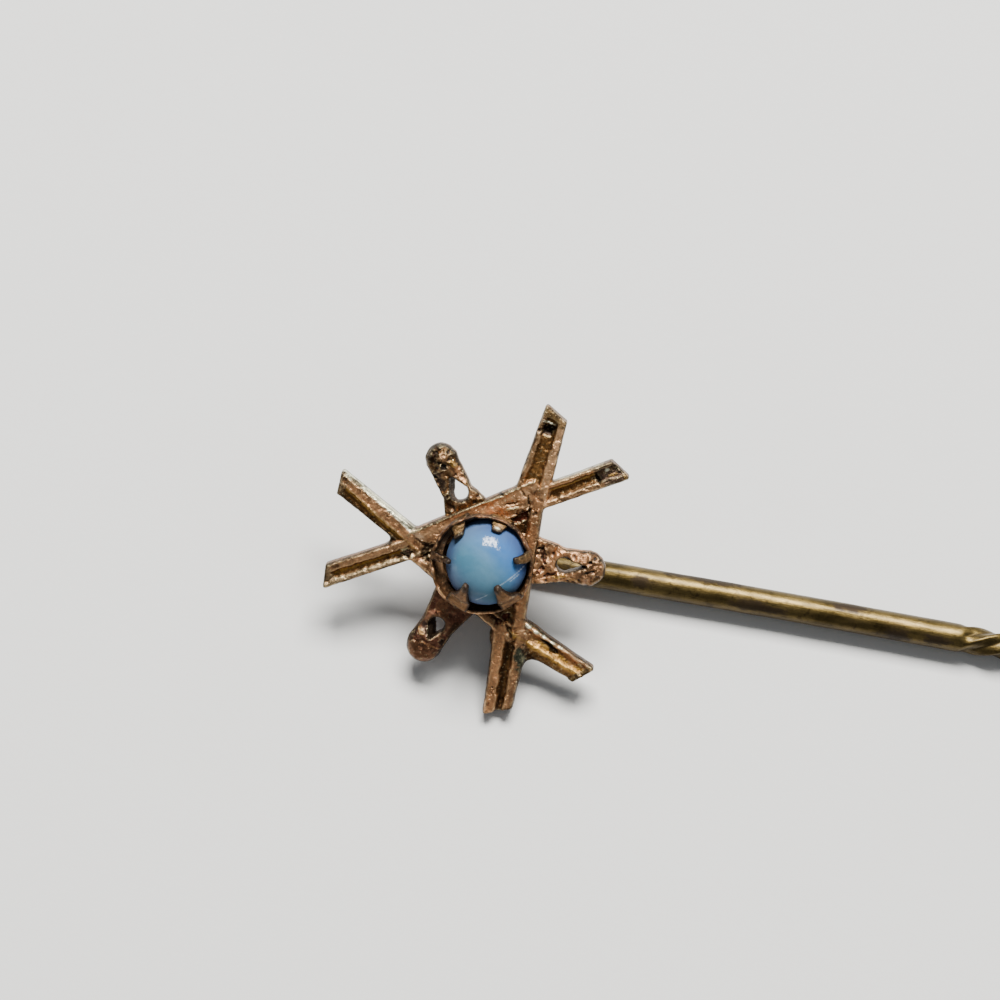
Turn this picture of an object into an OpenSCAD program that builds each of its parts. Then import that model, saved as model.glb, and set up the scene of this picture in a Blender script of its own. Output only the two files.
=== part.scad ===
/* [Star] */
// Distance from the centre of the star to each corner of its triangle
corner_at = 3.0; // [2.95:0.01:3.05]
// Width of the bars between the corners
side_w = 1.15; // [1.0:0.05:1.25]
// Length of an arm beyond the triangle
arm_len = 3.9; // [3.8:0.05:4.2]
// Width of an arm at its end
arm_end_w = 0.94; // [0.85:0.01:1.05]
// Thickness of bars and arms
bar_t = 0.6; // [0.55:0.05:0.7]
// How far an arm's end is cut from square, in degrees
end_slant = 22; // [15:1:28]
// Width of the groove between the raised lips of bars and arms
groove_w = 0.44; // [0.38:0.02:0.48]
// Depth of the groove
groove_depth = 0.22; // [0.1:0.02:0.3]
// Length of the lip that closes a groove at the end of an arm
end_lip = 0.3; // [0.2:0.05:0.5]

/* [Lobes] */
// Distance from the centre of the star to the middle of a lobe's knob
knob_at = 4.5; // [4.4:0.02:4.6]
// Radius of the knob at the end of a lobe
knob_r = 0.69; // [0.64:0.01:0.72]
// Height of the knob above the back of the star
knob_h = 0.85; // [0.7:0.05:1.0]
// Width of a lobe where it leaves the star
lobe_root_w = 2.2; // [2.0:0.1:2.4]
// Thickness of a lobe
lobe_t = 0.45; // [0.35:0.05:0.5]
// Distance from the centre of the star to the round end of a lobe's hole
eye_at = 3.24; // [3.2:0.02:3.3]
// Radius of the round end of a lobe's hole
eye_r = 0.35; // [0.3:0.01:0.38]

/* [Cup and claws] */
// Outer radius of the cup at its rim
cup_r = 2.13; // [2.12:0.01:2.16]
// Thickness of the cup's wall at the rim
cup_wall = 0.16; // [0.12:0.01:0.17]
// Height of the cup's rim above the front of the star
cup_rise = 0.9; // [0.85:0.01:0.95]
// Width of a claw at the rim
claw_w = 0.75; // [0.6:0.05:0.8]
// Width of a claw at its tip
claw_tip_w = 0.35; // [0.25:0.05:0.5]
// Thickness of a claw
claw_t = 0.22; // [0.18:0.01:0.26]

/* [Stone] */
// Radius of the cabochon at its girdle
stone_r = 1.68; // [1.66:0.01:1.69]
// Radius of the sphere that the dome is part of
dome_r = 1.85; // [1.82:0.01:1.9]
// Gap between the stone and the metal that holds it
stone_gap = 0.05; // [0.03:0.01:0.06]

/* [Stem] */
// Diameter of the stem
stem_d = 1.17; // [1.1:0.01:1.2]
// Distance from the middle of the star to the point of the stem
stem_reach = 53; // [48:1:58]
// Distance from the middle of the star to the start of the twist
twist_at = 20; // [18:0.5:22]
// Length of the twisted stretch
twist_len = 11; // [9:0.5:12]
// Length of one full turn of the twist
twist_pitch = 5.9; // [5:0.1:8]
// Length of the tapered point
point_len = 9; // [6:0.5:10]

/* [Rest] */
// Angle between the star and the surface that the pin lies on
tilt = 24; // [20:1:28]

/* [Hidden] */
metal_colour = [0.60, 0.42, 0.30];
stone_colour = [0.36, 0.60, 0.80];

// The star: bars join three corners into an open triangle, and from each corner two arms run on.
// It was set by hand, so each row gives one corner's turn and how much further out it is
corner_rows = [
    [62.5, 0.05],
    [182, -0.22],
    [298.2, 0.18]
];
CORNER_TURN = 0;
CORNER_OUT = 1;

// Each row gives the place of one arm's end, the arm's direction, its width at the root, and the side
// on which its slanted end stands further out: 1 to its left, -1 to its right
arm_rows = [
    [1.82, 6.27, 82.4, 1.27, 1],
    [4.68, 4.46, 30.5, 0.8, -1],
    [-6.38, 1.85, 150.1, 0.75, -1],
    [-6.39, -2.17, 209.1, 0.72, 1],
    [1.52, -6.55, 269.4, 1.27, -1],
    [4.77, -4.44, 336.5, 1.02, 1]
];
ARM_U = 0;
ARM_V = 1;
ARM_TURN = 2;
ARM_ROOT_W = 3;
ARM_SLANT = 4;
open_arm = 4;
end_skew = arm_end_w / 2 * tan(end_slant);
crotch_at = [0.8, 1.0, 1.5];
crotch_fill = 0.3;
crotch_half_w = 0.3;
corner_web_in = 1.5;
corner_web_t = 0.33;
corner_swell = 0.03;

// The lobes: pear shaped, each from the middle of a side of the triangle outwards. Each row gives one
// lobe's turn, how much further out its knob is, how much wider its knob is, and how much further out
// its hole is
lobe_rows = [
    [1.6, -0.3, 0.02, -0.05],
    [124.6, -0.08, -0.05, -0.36],
    [245.6, 0.28, 0.04, 0.24]
];
LOBE_TURN = 0;
KNOB_OUT = 1;
KNOB_WIDER = 2;
EYE_OUT = 3;
lobe_root_at = corner_at / 2 + side_w / 2 - 0.3;
waist_share = 0.98;
eye_tip_len = 2.5 * eye_r;
eye_tip_half = 0.04;
knob_side = 0.25;
knob_steps = 5;

// The cup stands through the middle of the star, a little off its centre
cup_centre = [-0.14, -0.20];
rim_n = bar_t + cup_rise;
cup_base_r = 1.85;
cup_floor_r = 1.62;
cup_floor_n = bar_t + 0.03;
cup_back_n = -0.15;

// The stone sits to one side in the cup, with its girdle below the rim and its dome above it
stone_centre = [0.02, -0.05];
girdle_n = rim_n - 0.35;
dome_centre_n = girdle_n - sqrt(dome_r * dome_r - stone_r * stone_r);
stone_base_n = cup_floor_n + stone_gap;
stone_base_r = stone_r - 0.36;
dome_steps = 9;

// The claws lean from the rim over the dome. Each row gives one claw's turn about the stone and how
// far up the dome its tip reaches, as an angle at the middle of the dome's sphere
claw_rows = [
    [24, 54],
    [83, 47],
    [142, 38],
    [182, 43],
    [254, 44],
    [310, 50]
];
CLAW_TURN = 0;
CLAW_HIGH = 1;
claw_low = 28;
claw_steps = 5;
claw_inner_r = dome_r + stone_gap;
claw_outer_r = claw_inner_r + claw_t;

// The stem lies along the surface, and the end of one arm touches it too
stem_r = stem_d / 2;
stem_v = -0.7;
star_corners = [for (row = arm_rows) for (side = [-1, 1]) arm_end_corner(row, side)];
low_v = min([for (point = star_corners) point[1]]);
high_v = max([for (point = star_corners) point[1]]);
low_u = min([for (point = star_corners) point[0]]);
stem_drop = ((stem_v - low_v) * sin(tilt) - stem_r) / cos(tilt);
plain_start = twist_at + twist_len;
cone_start = stem_reach - point_len;
point_r = 0.07;
twist_side = stem_d * 0.78;
twist_corner = 0.12;
twist_sink = 0.3;
twist_step = 12;
twist_turn = 360 * (twist_len + 2 * twist_sink) / twist_pitch;

// The post is solder and wire end between the back of the cup and the stem
post_v = stem_v / 2;
post_top_r = 1.35;
post_mid_r = 0.85;

// The whole pin's box is centred on the origin, with the surface at zero height
head_x = -(stem_reach + low_u) / 2;
head_high_y = (high_v - stem_v) * cos(tilt) - stem_drop * sin(tilt);
head_low_y = (low_v - stem_v) * cos(tilt) - (stem_drop + bar_t) * sin(tilt);
stem_y = -(head_high_y + head_low_y) / 2;

// Points on a circle round centre, from one angle to another
function arc_points(radius, centre, from, to, steps) =
    [for (i = [0 : steps]) let (a = from + (to - from) * i / steps)
        [centre[0] + radius * cos(a), centre[1] + radius * sin(a)]];

// A point of the star's plane, turned about the star's centre
function turned(point, turn) =
    [point[0] * cos(turn) - point[1] * sin(turn), point[0] * sin(turn) + point[1] * cos(turn)];

// Where a corner of the triangle is
function corner_point(row) = turned([corner_at + row[CORNER_OUT], 0], row[CORNER_TURN]);

// Where one corner of an arm's slanted end is: side is 1 for the arm's left, -1 for its right
function arm_end_corner(row, side) =
    [row[ARM_U], row[ARM_V]] + turned([side * row[ARM_SLANT] * end_skew, side * arm_end_w / 2], row[ARM_TURN]);

// Outline of a square bar with its corners cut off
function cut_square(side, corner) =
    let (h = side / 2, k = side / 2 - corner)
    [[h, -k], [h, k], [k, h], [-k, h], [-h, k], [-h, -k], [-k, -h], [k, -h]];

// Moves what is drawn on the star's own plane to where the head lies, leaning on one arm's end
module as_it_lies() {
    translate([head_x, stem_y, stem_r])
        rotate([tilt, 0, 0])
            translate([0, -stem_v, stem_drop])
                children();
}

// Moves what is drawn along Z from the middle of the star to the stem's own line
module along_stem() {
    translate([head_x, stem_y, stem_r])
        rotate([0, 90, 0])
            children();
}

// Moves a flat shape drawn along X, up to an arm's end, to that arm's place
module at_arm(row) {
    translate([row[ARM_U], row[ARM_V]])
        rotate(row[ARM_TURN])
            children();
}

// A flat strip between two points
module strip(from, to, width) {
    way = to - from;
    translate(from)
        rotate(atan2(way[1], way[0]))
            translate([0, -width / 2])
                square([norm(way), width]);
}

// An arm changes width a little towards its slanted end
module arm_outline(row) {
    skew = end_skew * row[ARM_SLANT];
    at_arm(row)
        polygon([
            [-arm_len, -row[ARM_ROOT_W] / 2],
            [-skew, -arm_end_w / 2],
            [skew, arm_end_w / 2],
            [-arm_len, row[ARM_ROOT_W] / 2]
        ]);
}

// The groove along the front of an arm, which a lip closes unless the end is open
module arm_groove(row, is_open) {
    at_arm(row)
        translate([-arm_len, -groove_w / 2])
            square([arm_len + (is_open ? 1 : -end_lip), groove_w]);
}

// Metal that ran into the corners: into the sharp angle between two arms, and inside the triangle
module corner_web(row, crotch) {
    translate(corner_point(row))
        rotate(row[CORNER_TURN])
            polygon([
                [-corner_web_in, 0.4],
                [-corner_web_in, -0.4],
                [0, -crotch_half_w],
                [crotch + crotch_fill, -crotch_fill],
                [crotch + crotch_fill / 2, 0],
                [crotch + crotch_fill, crotch_fill],
                [0, crotch_half_w]
            ]);
}

module star_outline(corners) {
    for (i = [0 : 2]) {
        strip(corners[i], corners[(i + 1) % 3], side_w);
        translate(corners[i])
            circle(side_w / 2 + corner_swell, $fn = 32);
    }
    for (row = arm_rows)
        arm_outline(row);
}

module star_grooves(corners) {
    for (i = [0 : 2])
        strip(corners[i], corners[(i + 1) % 3], groove_w);
    for (i = [0 : len(arm_rows) - 1])
        arm_groove(arm_rows[i], i == open_arm);
}

module star() {
    corners = [for (row = corner_rows) corner_point(row)];
    difference() {
        linear_extrude(bar_t)
            star_outline(corners);
        translate([0, 0, bar_t - groove_depth])
            linear_extrude(1)
                star_grooves(corners);
    }
    for (i = [0 : 2])
        linear_extrude(corner_web_t)
            corner_web(corner_rows[i], crotch_at[i]);
}

// A lobe is a tapering web that ends in a domed knob, with a hole shaped like a drop
module lobe(row) {
    knob = [knob_at + row[KNOB_OUT], knob_r + row[KNOB_WIDER]];
    waist = knob[1] * waist_share;
    eye = eye_at + row[EYE_OUT];
    difference() {
        union() {
            linear_extrude(lobe_t)
                polygon([
                    [lobe_root_at, -lobe_root_w / 2],
                    [eye, -waist],
                    [knob[0], -waist],
                    [knob[0], waist],
                    [eye, waist],
                    [lobe_root_at, lobe_root_w / 2]
                ]);
            translate([knob[0], 0, 0])
                rotate_extrude($fn = 48)
                    polygon(concat(
                        [[0, 0], [knob[1], 0]],
                        [for (i = [0 : knob_steps]) let (a = 90 * i / knob_steps)
                            [knob[1] * cos(a), knob_side + (knob_h - knob_side) * sin(a)]]
                    ));
        }
        translate([eye, 0, -1])
            cylinder(h = 3, r = eye_r, $fn = 48);
        translate([0, 0, -1])
            linear_extrude(3)
                polygon([
                    [eye + eye_r * 0.35, -eye_r * 0.92],
                    [eye + eye_tip_len, -eye_tip_half],
                    [eye + eye_tip_len, eye_tip_half],
                    [eye + eye_r * 0.35, eye_r * 0.92]
                ]);
    }
}

// The cup is one turned shape: a floor for the stone, a flared wall and a thin rim
module cup() {
    translate([cup_centre[0], cup_centre[1], 0])
        rotate_extrude($fn = 96)
            polygon([
                [0, cup_back_n],
                [cup_base_r - 0.1, cup_back_n],
                [cup_base_r, 0],
                [cup_r - 0.05, rim_n - 0.4],
                [cup_r, rim_n],
                [cup_r - cup_wall, rim_n],
                [cup_r - cup_wall - 0.02, girdle_n],
                [cup_floor_r, cup_floor_n],
                [0, cup_floor_n]
            ]);
}

// A claw rises from the rim and leans over the dome, and narrows towards its tip
module claw(row) {
    foot_r = cup_r - (stone_centre - cup_centre) * turned([1, 0], row[CLAW_TURN]);
    span = claw_w / foot_r * 180 / PI;
    tip_r = claw_inner_r * cos(row[CLAW_HIGH]);
    rotate(row[CLAW_TURN])
        intersection() {
            rotate([0, 0, -span])
                rotate_extrude(angle = 2 * span, $fn = 96)
                    polygon(concat(
                        [
                            [foot_r - cup_wall + 0.02, rim_n - 0.2],
                            [foot_r - 0.07, rim_n - 0.2],
                            [foot_r - 0.08, rim_n + 0.05]
                        ],
                        arc_points(claw_outer_r, [0, dome_centre_n], claw_low, row[CLAW_HIGH], claw_steps),
                        arc_points(claw_inner_r, [0, dome_centre_n], row[CLAW_HIGH], claw_low, claw_steps)
                    ));
            translate([0, 0, girdle_n])
                linear_extrude(2)
                    polygon([
                        [tip_r, -claw_tip_w / 2],
                        [foot_r, -claw_w / 2],
                        [foot_r + 0.1, 0],
                        [foot_r, claw_w / 2],
                        [tip_r, claw_tip_w / 2]
                    ]);
        }
}

module claws() {
    for (row = claw_rows)
        translate([stone_centre[0], stone_centre[1], 0])
            claw(row);
}

// Joins the back of the cup to the end of the stem
module post() {
    translate([0, post_v, 0])
        rotate_extrude($fn = 48)
            polygon([
                [0, -stem_drop],
                [post_mid_r - 0.12, -stem_drop],
                [post_mid_r, -stem_drop + 0.25],
                [post_mid_r, -0.75],
                [post_mid_r + 0.15, -0.4],
                [post_top_r, cup_back_n],
                [post_top_r, 0.05],
                [0, 0.05]
            ]);
}

module twisted_stretch() {
    translate([0, 0, twist_at - twist_sink])
        linear_extrude(
            height = twist_len + 2 * twist_sink,
            twist = twist_turn,
            slices = ceil(twist_turn / twist_step)
        )
            polygon(cut_square(twist_side, twist_corner));
}

// The stem: a plain round stretch, a twisted one that grips the cloth, and a plain one with a point
module stem() {
    along_stem() {
        cylinder(h = twist_at, r = stem_r, $fn = 48);
        sphere(r = stem_r, $fn = 48);
        twisted_stretch();
        translate([0, 0, plain_start])
            cylinder(h = cone_start - plain_start, r = stem_r, $fn = 48);
        translate([0, 0, cone_start])
            cylinder(h = point_len, r1 = stem_r, r2 = point_r, $fn = 48);
    }
}

// Star, lobes, cup, claws and stem are soldered together, so they are one solid
module soldered_mount() {
    color(metal_colour) {
        as_it_lies() {
            star();
            for (row = lobe_rows)
                rotate(row[LOBE_TURN])
                    lobe(row);
            cup();
            claws();
            post();
        }
        stem();
    }
}

// A cabochon: flat base, short slanted side and a dome
module stone() {
    color(stone_colour)
        as_it_lies()
            translate([stone_centre[0], stone_centre[1], 0])
                rotate_extrude($fn = 96)
                    polygon(concat(
                        [[0, stone_base_n], [stone_base_r, stone_base_n]],
                        arc_points(dome_r, [0, dome_centre_n], acos(stone_r / dome_r), 90, dome_steps)
                    ));
}

soldered_mount();
stone();
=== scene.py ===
# %% [markdown]
# # A stick pin, dressed
# The solids of this pin come from its construction file: one solid of soldered metal and one stone.
# They are exact but plain. This lesson builds the surfaces that people see, piece by piece, in the
# same place and at the same size: a worn copper-coloured star, a cup with claws, a stone and a stem.

import bmesh
import bpy
import numpy as np
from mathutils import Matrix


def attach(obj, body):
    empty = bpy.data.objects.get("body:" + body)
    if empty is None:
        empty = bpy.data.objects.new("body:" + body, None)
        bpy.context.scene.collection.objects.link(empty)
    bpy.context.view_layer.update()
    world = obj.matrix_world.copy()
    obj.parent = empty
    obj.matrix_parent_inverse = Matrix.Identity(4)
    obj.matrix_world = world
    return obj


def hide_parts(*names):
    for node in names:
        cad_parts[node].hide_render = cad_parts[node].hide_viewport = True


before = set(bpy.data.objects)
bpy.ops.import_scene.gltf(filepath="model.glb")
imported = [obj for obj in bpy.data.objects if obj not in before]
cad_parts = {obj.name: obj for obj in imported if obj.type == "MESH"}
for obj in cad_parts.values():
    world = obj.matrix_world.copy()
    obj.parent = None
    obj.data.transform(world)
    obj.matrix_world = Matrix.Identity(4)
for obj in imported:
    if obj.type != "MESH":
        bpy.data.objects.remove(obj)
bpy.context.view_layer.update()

# %% [markdown]
# ## Where things are
# All lengths here are in millimetres until a mesh is made, because a pin is small. The head has its own
# axes: u runs along the stem, v across it and n out of the face of the star. The head leans on the
# surface, so its axes are the world's, turned about X, and moved.

# %% The head's own axes
MM = 0.001
TILT = np.radians(24.0)
STEM_R = 0.585
# The wire's line in the head's axes: its v, and how far it runs behind the star's back
STEM_V, STEM_DROP = -0.7, 2.046575
# In the frame: the X of the star's middle, and the Y of the wire's line
HEAD_X, STEM_Y = -23.273673, 0.412968
AXIS_U = np.array([1.0, 0.0, 0.0])
AXIS_V = np.array([0.0, np.cos(TILT), np.sin(TILT)])
AXIS_N = np.array([0.0, -np.sin(TILT), np.cos(TILT)])
HEAD_MIDDLE = np.array([HEAD_X, STEM_Y, STEM_R]) - STEM_V * AXIS_V + STEM_DROP * AXIS_N
print("middle of the star:", HEAD_MIDDLE.round(3), "mm")


def head_to_world(u, v, n):
    """Arrays of u, v and n in the head's axes, as rows of x, y and z in the frame."""
    return (HEAD_MIDDLE + np.multiply.outer(u, AXIS_U) + np.multiply.outer(v, AXIS_V)
            + np.multiply.outer(n, AXIS_N))


# %% [markdown]
# ## Uneven by hand
# Old metal is never quite even. A smooth noise, made from fixed tables of chance values, gives the same
# dents each time the lesson is run. A smooth step turns any measure into a soft mask.

# %% Noise and soft steps
NOISE_SIZE = 64
NOISE_SEEDS = 12
NOISE_TABLES = [np.random.RandomState(seed).rand(NOISE_SIZE, NOISE_SIZE) for seed in range(NOISE_SEEDS)]


def noise(x, y, size, seed):
    """Smooth chance values from -1 to 1: a table's four nearest values, blended by smooth steps."""
    gx, gy = x / size, y / size
    ix, iy = np.floor(gx).astype(int), np.floor(gy).astype(int)
    fx, fy = gx - ix, gy - iy
    fx, fy = fx * fx * (3 - 2 * fx), fy * fy * (3 - 2 * fy)
    at = lambda a, b: NOISE_TABLES[seed][a % NOISE_SIZE, b % NOISE_SIZE]
    low = at(ix, iy) * (1 - fx) + at(ix + 1, iy) * fx
    high = at(ix, iy + 1) * (1 - fx) + at(ix + 1, iy + 1) * fx
    return 2 * (low * (1 - fy) + high * fy) - 1


def rough(x, y, size, seed):
    """Noise at three sizes, each about half as large and half as strong as the one before."""
    return (noise(x, y, size, seed) + 0.5 * noise(x, y, size / 2.1, seed + 1)
            + 0.25 * noise(x, y, size / 4.3, seed + 2)) / 1.75


def rise(low, high, x):
    """0 below low, 1 above high, and a smooth rise between."""
    t = np.clip((x - low) / (high - low), 0, 1)
    return t * t * (3 - 2 * t)


def fade(low, high, x):
    """1 below low, 0 above high, and a smooth fall between."""
    return 1 - rise(low, high, x)


def quarter_round(t):
    """1 up to t = 0, then down a quarter circle to 0 at t = 1."""
    return np.sqrt(np.clip(1 - np.clip(t, 0, 1) ** 2, 0, 1))


# %% [markdown]
# ## Shapes in a plane
# Shapes in the star's plane are described by their distance to the outline: negative inside, positive
# outside, which makes it easy to join and round them.

# %% Plane shapes
def turned(x, y, degrees):
    """The point (x, y) turned about the origin."""
    a = np.radians(degrees)
    return x * np.cos(a) - y * np.sin(a), x * np.sin(a) + y * np.cos(a)


def line_distance(x, y, start, end):
    """Distance to the straight line between two points, and how far along it from 0 to 1."""
    ex, ey = end[0] - start[0], end[1] - start[1]
    t = np.clip(((x - start[0]) * ex + (y - start[1]) * ey) / (ex * ex + ey * ey), 0, 1)
    return np.hypot(x - start[0] - t * ex, y - start[1] - t * ey), t


def polygon_distance(x, y, corners):
    """Signed distance to a polygon: the nearest edge's distance, with the sign from edge crossings."""
    best = np.full(x.shape, np.inf)
    inside = np.zeros(x.shape, bool)
    for (ax, ay), (bx, by) in zip(corners, corners[1:] + corners[:1]):
        best = np.minimum(best, line_distance(x, y, (ax, ay), (bx, by))[0])
        inside ^= ((ay > y) != (by > y)) & (x < (bx - ax) * (y - ay) / (by - ay + 1e-12) + ax)
    return np.where(inside, -best, best)


def join(a, b, soft):
    """The union of two distances, with the inside corner between them filled by a round of size soft."""
    h = np.clip(0.5 + 0.5 * (b - a) / soft, 0, 1)
    return b * (1 - h) + a * h - soft * h * (1 - h)


# %% [markdown]
# ## From arrays to Blender
# Every piece becomes a mesh the same way: rows of points, rows of four corners for the faces, and any
# number of values that belong to the points, such as how worn the metal is there.

# %% Mesh makers
SAME_PLACE_MM = 0.0002


def close_points(mesh):
    """Points that lie in one place, such as the last turn of a dome at its top, become one point."""
    work = bmesh.new()
    work.from_mesh(mesh)
    bmesh.ops.remove_doubles(work, verts=work.verts, dist=SAME_PLACE_MM * MM)
    work.to_mesh(mesh)
    work.free()


def add_piece(name, points_mm, quads, material, node, values, tone=None):
    """Put points (in mm, in the frame) and faces in a mesh that rides with the pin. Each point keeps its
    values and its tone."""
    points = points_mm.reshape(-1, 3)
    quads = quads.astype(np.int32)
    mesh = bpy.data.meshes.new(name)
    mesh.vertices.add(len(points))
    mesh.vertices.foreach_set("co", (points * MM).astype(np.float32).ravel())
    mesh.loops.add(quads.size)
    mesh.loops.foreach_set("vertex_index", quads.ravel())
    mesh.polygons.add(len(quads))
    mesh.polygons.foreach_set("loop_start", np.arange(0, quads.size, 4, dtype=np.int32))
    mesh.update(calc_edges=True)
    mesh.validate()
    mesh.polygons.foreach_set("use_smooth", np.full(len(mesh.polygons), True))
    for key, value in values.items():
        layer = mesh.attributes.new(key, "FLOAT", "POINT")
        layer.data.foreach_set("value", np.asarray(value, np.float32).ravel())
    if tone is not None:
        layer = mesh.attributes.new("tone", "FLOAT_COLOR", "POINT")
        rgba = np.ones((len(points), 4), np.float32)
        rgba[:, :3] = tone.reshape(-1, 3)
        layer.data.foreach_set("color", rgba.ravel())
    close_points(mesh)
    mesh.materials.append(material)
    piece = bpy.data.objects.new(name, mesh)
    bpy.context.scene.collection.objects.link(piece)
    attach(piece, "root")
    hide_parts(node)
    print(name, len(mesh.vertices), "points,", len(mesh.polygons), "faces")


def grid_quads(rows, columns, closed=True):
    """Faces of a grid of points stored row by row; a closed one joins the last column to the first."""
    r = np.arange(rows - 1)[:, None] * columns
    c = np.arange(columns if closed else columns - 1)[None, :]
    n = (c + 1) % columns
    return np.stack([r + c, r + n, r + columns + n, r + columns + c], -1).reshape(-1, 4)


# %% [markdown]
# ## Small tools for finishes
# A finish is arithmetic on noise and on the values that a mesh carries. This class lets that be
# written as plain sums: each sum, difference or product adds the node that works it out.

# %% Shader arithmetic
class Signal:
    """A socket of a material's nodes that can be used in sums."""

    def __init__(self, paint, socket):
        self.paint = paint
        self.socket = socket

    def _math(self, operation, first, second, clamp=False):
        settings = {"operation": operation, "use_clamp": clamp}
        return self.paint.add("ShaderNodeMath", settings, {0: first, 1: second}, 0)

    def __add__(self, other):
        return self._math("ADD", self, other)

    def __sub__(self, other):
        return self._math("SUBTRACT", self, other)

    def __rsub__(self, other):
        return self._math("SUBTRACT", other, self)

    def __mul__(self, other):
        return self._math("MULTIPLY", self, other)

    __radd__ = __add__
    __rmul__ = __mul__

    def clamped(self):
        """The same value, kept between 0 and 1."""
        return self._math("ADD", self, 0.0, clamp=True)

    def above(self, low, high):
        """0 below low, 1 above high, and a straight rise between."""
        return self._math("DIVIDE", self - low, high - low, clamp=True)


# %% [markdown]
# A material starts with an output and the object's own coordinates. One method adds any node, and short
# ones on top of it add those that every finish here uses: noise, a value from the mesh, a mix, a bump.

# %% One material
class Paint:
    """One material and its nodes."""

    def __init__(self, name):
        self.material = bpy.data.materials.new(name)
        self.material.use_nodes = True
        self.tree = self.material.node_tree
        self.tree.nodes.clear()
        self.output = self.tree.nodes.new("ShaderNodeOutputMaterial")
        self.place = self.add("ShaderNodeTexCoord", {}, {}, "Object")

    def add(self, kind, settings, inputs, output):
        """A node of this kind: its settings first, then values or links for its sockets."""
        node = self.tree.nodes.new(kind)
        for key, value in settings.items():
            setattr(node, key, value)
        for key, value in inputs.items():
            if isinstance(value, Signal):
                self.tree.links.new(value.socket, node.inputs[key])
            else:
                node.inputs[key].default_value = value
        return Signal(self, node.outputs[output])

    def noise(self, size_mm, detail, roughness, distortion=0.0, place=None):
        """Noise whose lumps are about size_mm across."""
        return self.add("ShaderNodeTexNoise", {"noise_dimensions": "3D"},
                        {"Vector": place or self.place, "Scale": 1 / (size_mm * MM), "Detail": detail,
                         "Roughness": roughness, "Distortion": distortion}, "Fac")

    def carried(self, name, output="Fac"):
        """A value that the mesh carries at each point, or with the output Color a colour."""
        return self.add("ShaderNodeAttribute", {"attribute_name": name}, {}, output)

    def mix(self, amount, first, second):
        """A colour between first and second."""
        widen = lambda c: c if isinstance(c, Signal) else (*c, 1.0)
        inputs = {0: amount, 6: widen(first), 7: widen(second)}
        return self.add("ShaderNodeMix", {"data_type": "RGBA"}, inputs, 2)

    def scaled(self, colour, factor):
        """A colour made lighter or darker by a factor."""
        return self.add("ShaderNodeVectorMath", {"operation": "SCALE"}, {0: colour, "Scale": factor}, 0)

    def bump(self, height, depth_mm, strength):
        """Relief too fine for the mesh."""
        return self.add("ShaderNodeBump", {},
                        {"Height": height, "Distance": depth_mm * MM, "Strength": strength}, 0)

    def finish(self, **sockets):
        """The surface shader: values that never change are set on its own sockets."""
        inputs = {key.replace("_", " "): value for key, value in sockets.items()}
        surface = self.add("ShaderNodeBsdfPrincipled", {}, inputs, 0)
        self.tree.links.new(surface.socket, self.output.inputs["Surface"])
        print("finish", self.material.name, "with", len(self.tree.nodes), "nodes")
        return self.material


def from_screen(red, green, blue):
    """A colour as a screen shows it, 0 to 255, as amounts of light."""
    c = np.array([red, green, blue]) / 255
    return tuple(np.where(c <= 0.04045, c / 12.92, ((c + 0.055) / 1.055) ** 2.4))


# %% [markdown]
# ## The camera
# The photograph was taken from almost overhead, turned so that the stem runs a little downwards to the
# right. The camera stands 200 mm away, and its lens shows about 41 mm of the surface from side to side.

# %% Camera
CAMERA_TURN = np.radians(10.18)
CAMERA_RISE = np.radians(81.14)
CAMERA_FAR = 200.0
PIXELS_PER_MM = 24.228
PICTURE_PIXELS = 1000
SENSOR_MM = 36.0
# What it looks at, along its own axes
LOOKS_AT = (-22.3714, 6.8351, 2.0072)
CAMERA_RIGHT = np.array([np.cos(CAMERA_TURN), np.sin(CAMERA_TURN), 0])
CAMERA_BACK = np.array([np.sin(CAMERA_TURN) * np.cos(CAMERA_RISE),
                        -np.cos(CAMERA_TURN) * np.cos(CAMERA_RISE), np.sin(CAMERA_RISE)])
CAMERA_UP = np.cross(CAMERA_BACK, CAMERA_RIGHT)


def stand(data, right, up, back, where_mm):
    """Put a camera or a light in the scene. The columns of its matrix are its axes and its place, and
    Blender takes a plain list of numbers column by column."""
    thing = bpy.data.objects.new(data.name, data)
    matrix = np.eye(4)
    matrix[:3] = np.stack([right, up, back, where_mm * MM], 1)
    thing.matrix_world = [list(row) for row in matrix.T]
    bpy.context.scene.collection.objects.link(thing)
    print(data.name, "stands at", where_mm.round(1), "mm")
    return thing


def place_camera():
    """The camera stands back from what it looks at, with the lens that gives the photograph's scale."""
    data = bpy.data.cameras.new("camera")
    data.sensor_width = SENSOR_MM
    data.lens = SENSOR_MM * CAMERA_FAR * PIXELS_PER_MM / PICTURE_PIXELS
    data.clip_start, data.clip_end = 0.01, 5
    x, y, z = LOOKS_AT
    where = x * CAMERA_RIGHT + y * CAMERA_UP + (z + CAMERA_FAR) * CAMERA_BACK
    bpy.context.scene.camera = stand(data, CAMERA_RIGHT, CAMERA_UP, CAMERA_BACK, where)


place_camera()

# %% [markdown]
# ## The light
# The photograph has soft daylight from one large window, high and beyond the pin, and a bright room
# that fills the shadows. A wide panel stands in for the window, and a small faint one, more to the
# right, for a side pane whose glint shows beside the window's on the stone.

# %% Light
DAYLIGHT = (1.0, 0.985, 0.955)
PANEL_FAR_MM = 800
# Each panel: the way to it, its width and height in mm, and its watts
PANELS = {"window": ((-0.01, 0.85, 1.0), (485, 260), 21.5), "side_pane": ((0.50, 0.60, 1.0), (130, 100), 0.6)}
ROOM_COLOUR = (0.93, 0.96, 1.0, 1)
ROOM_STRENGTH = 0.235


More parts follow.
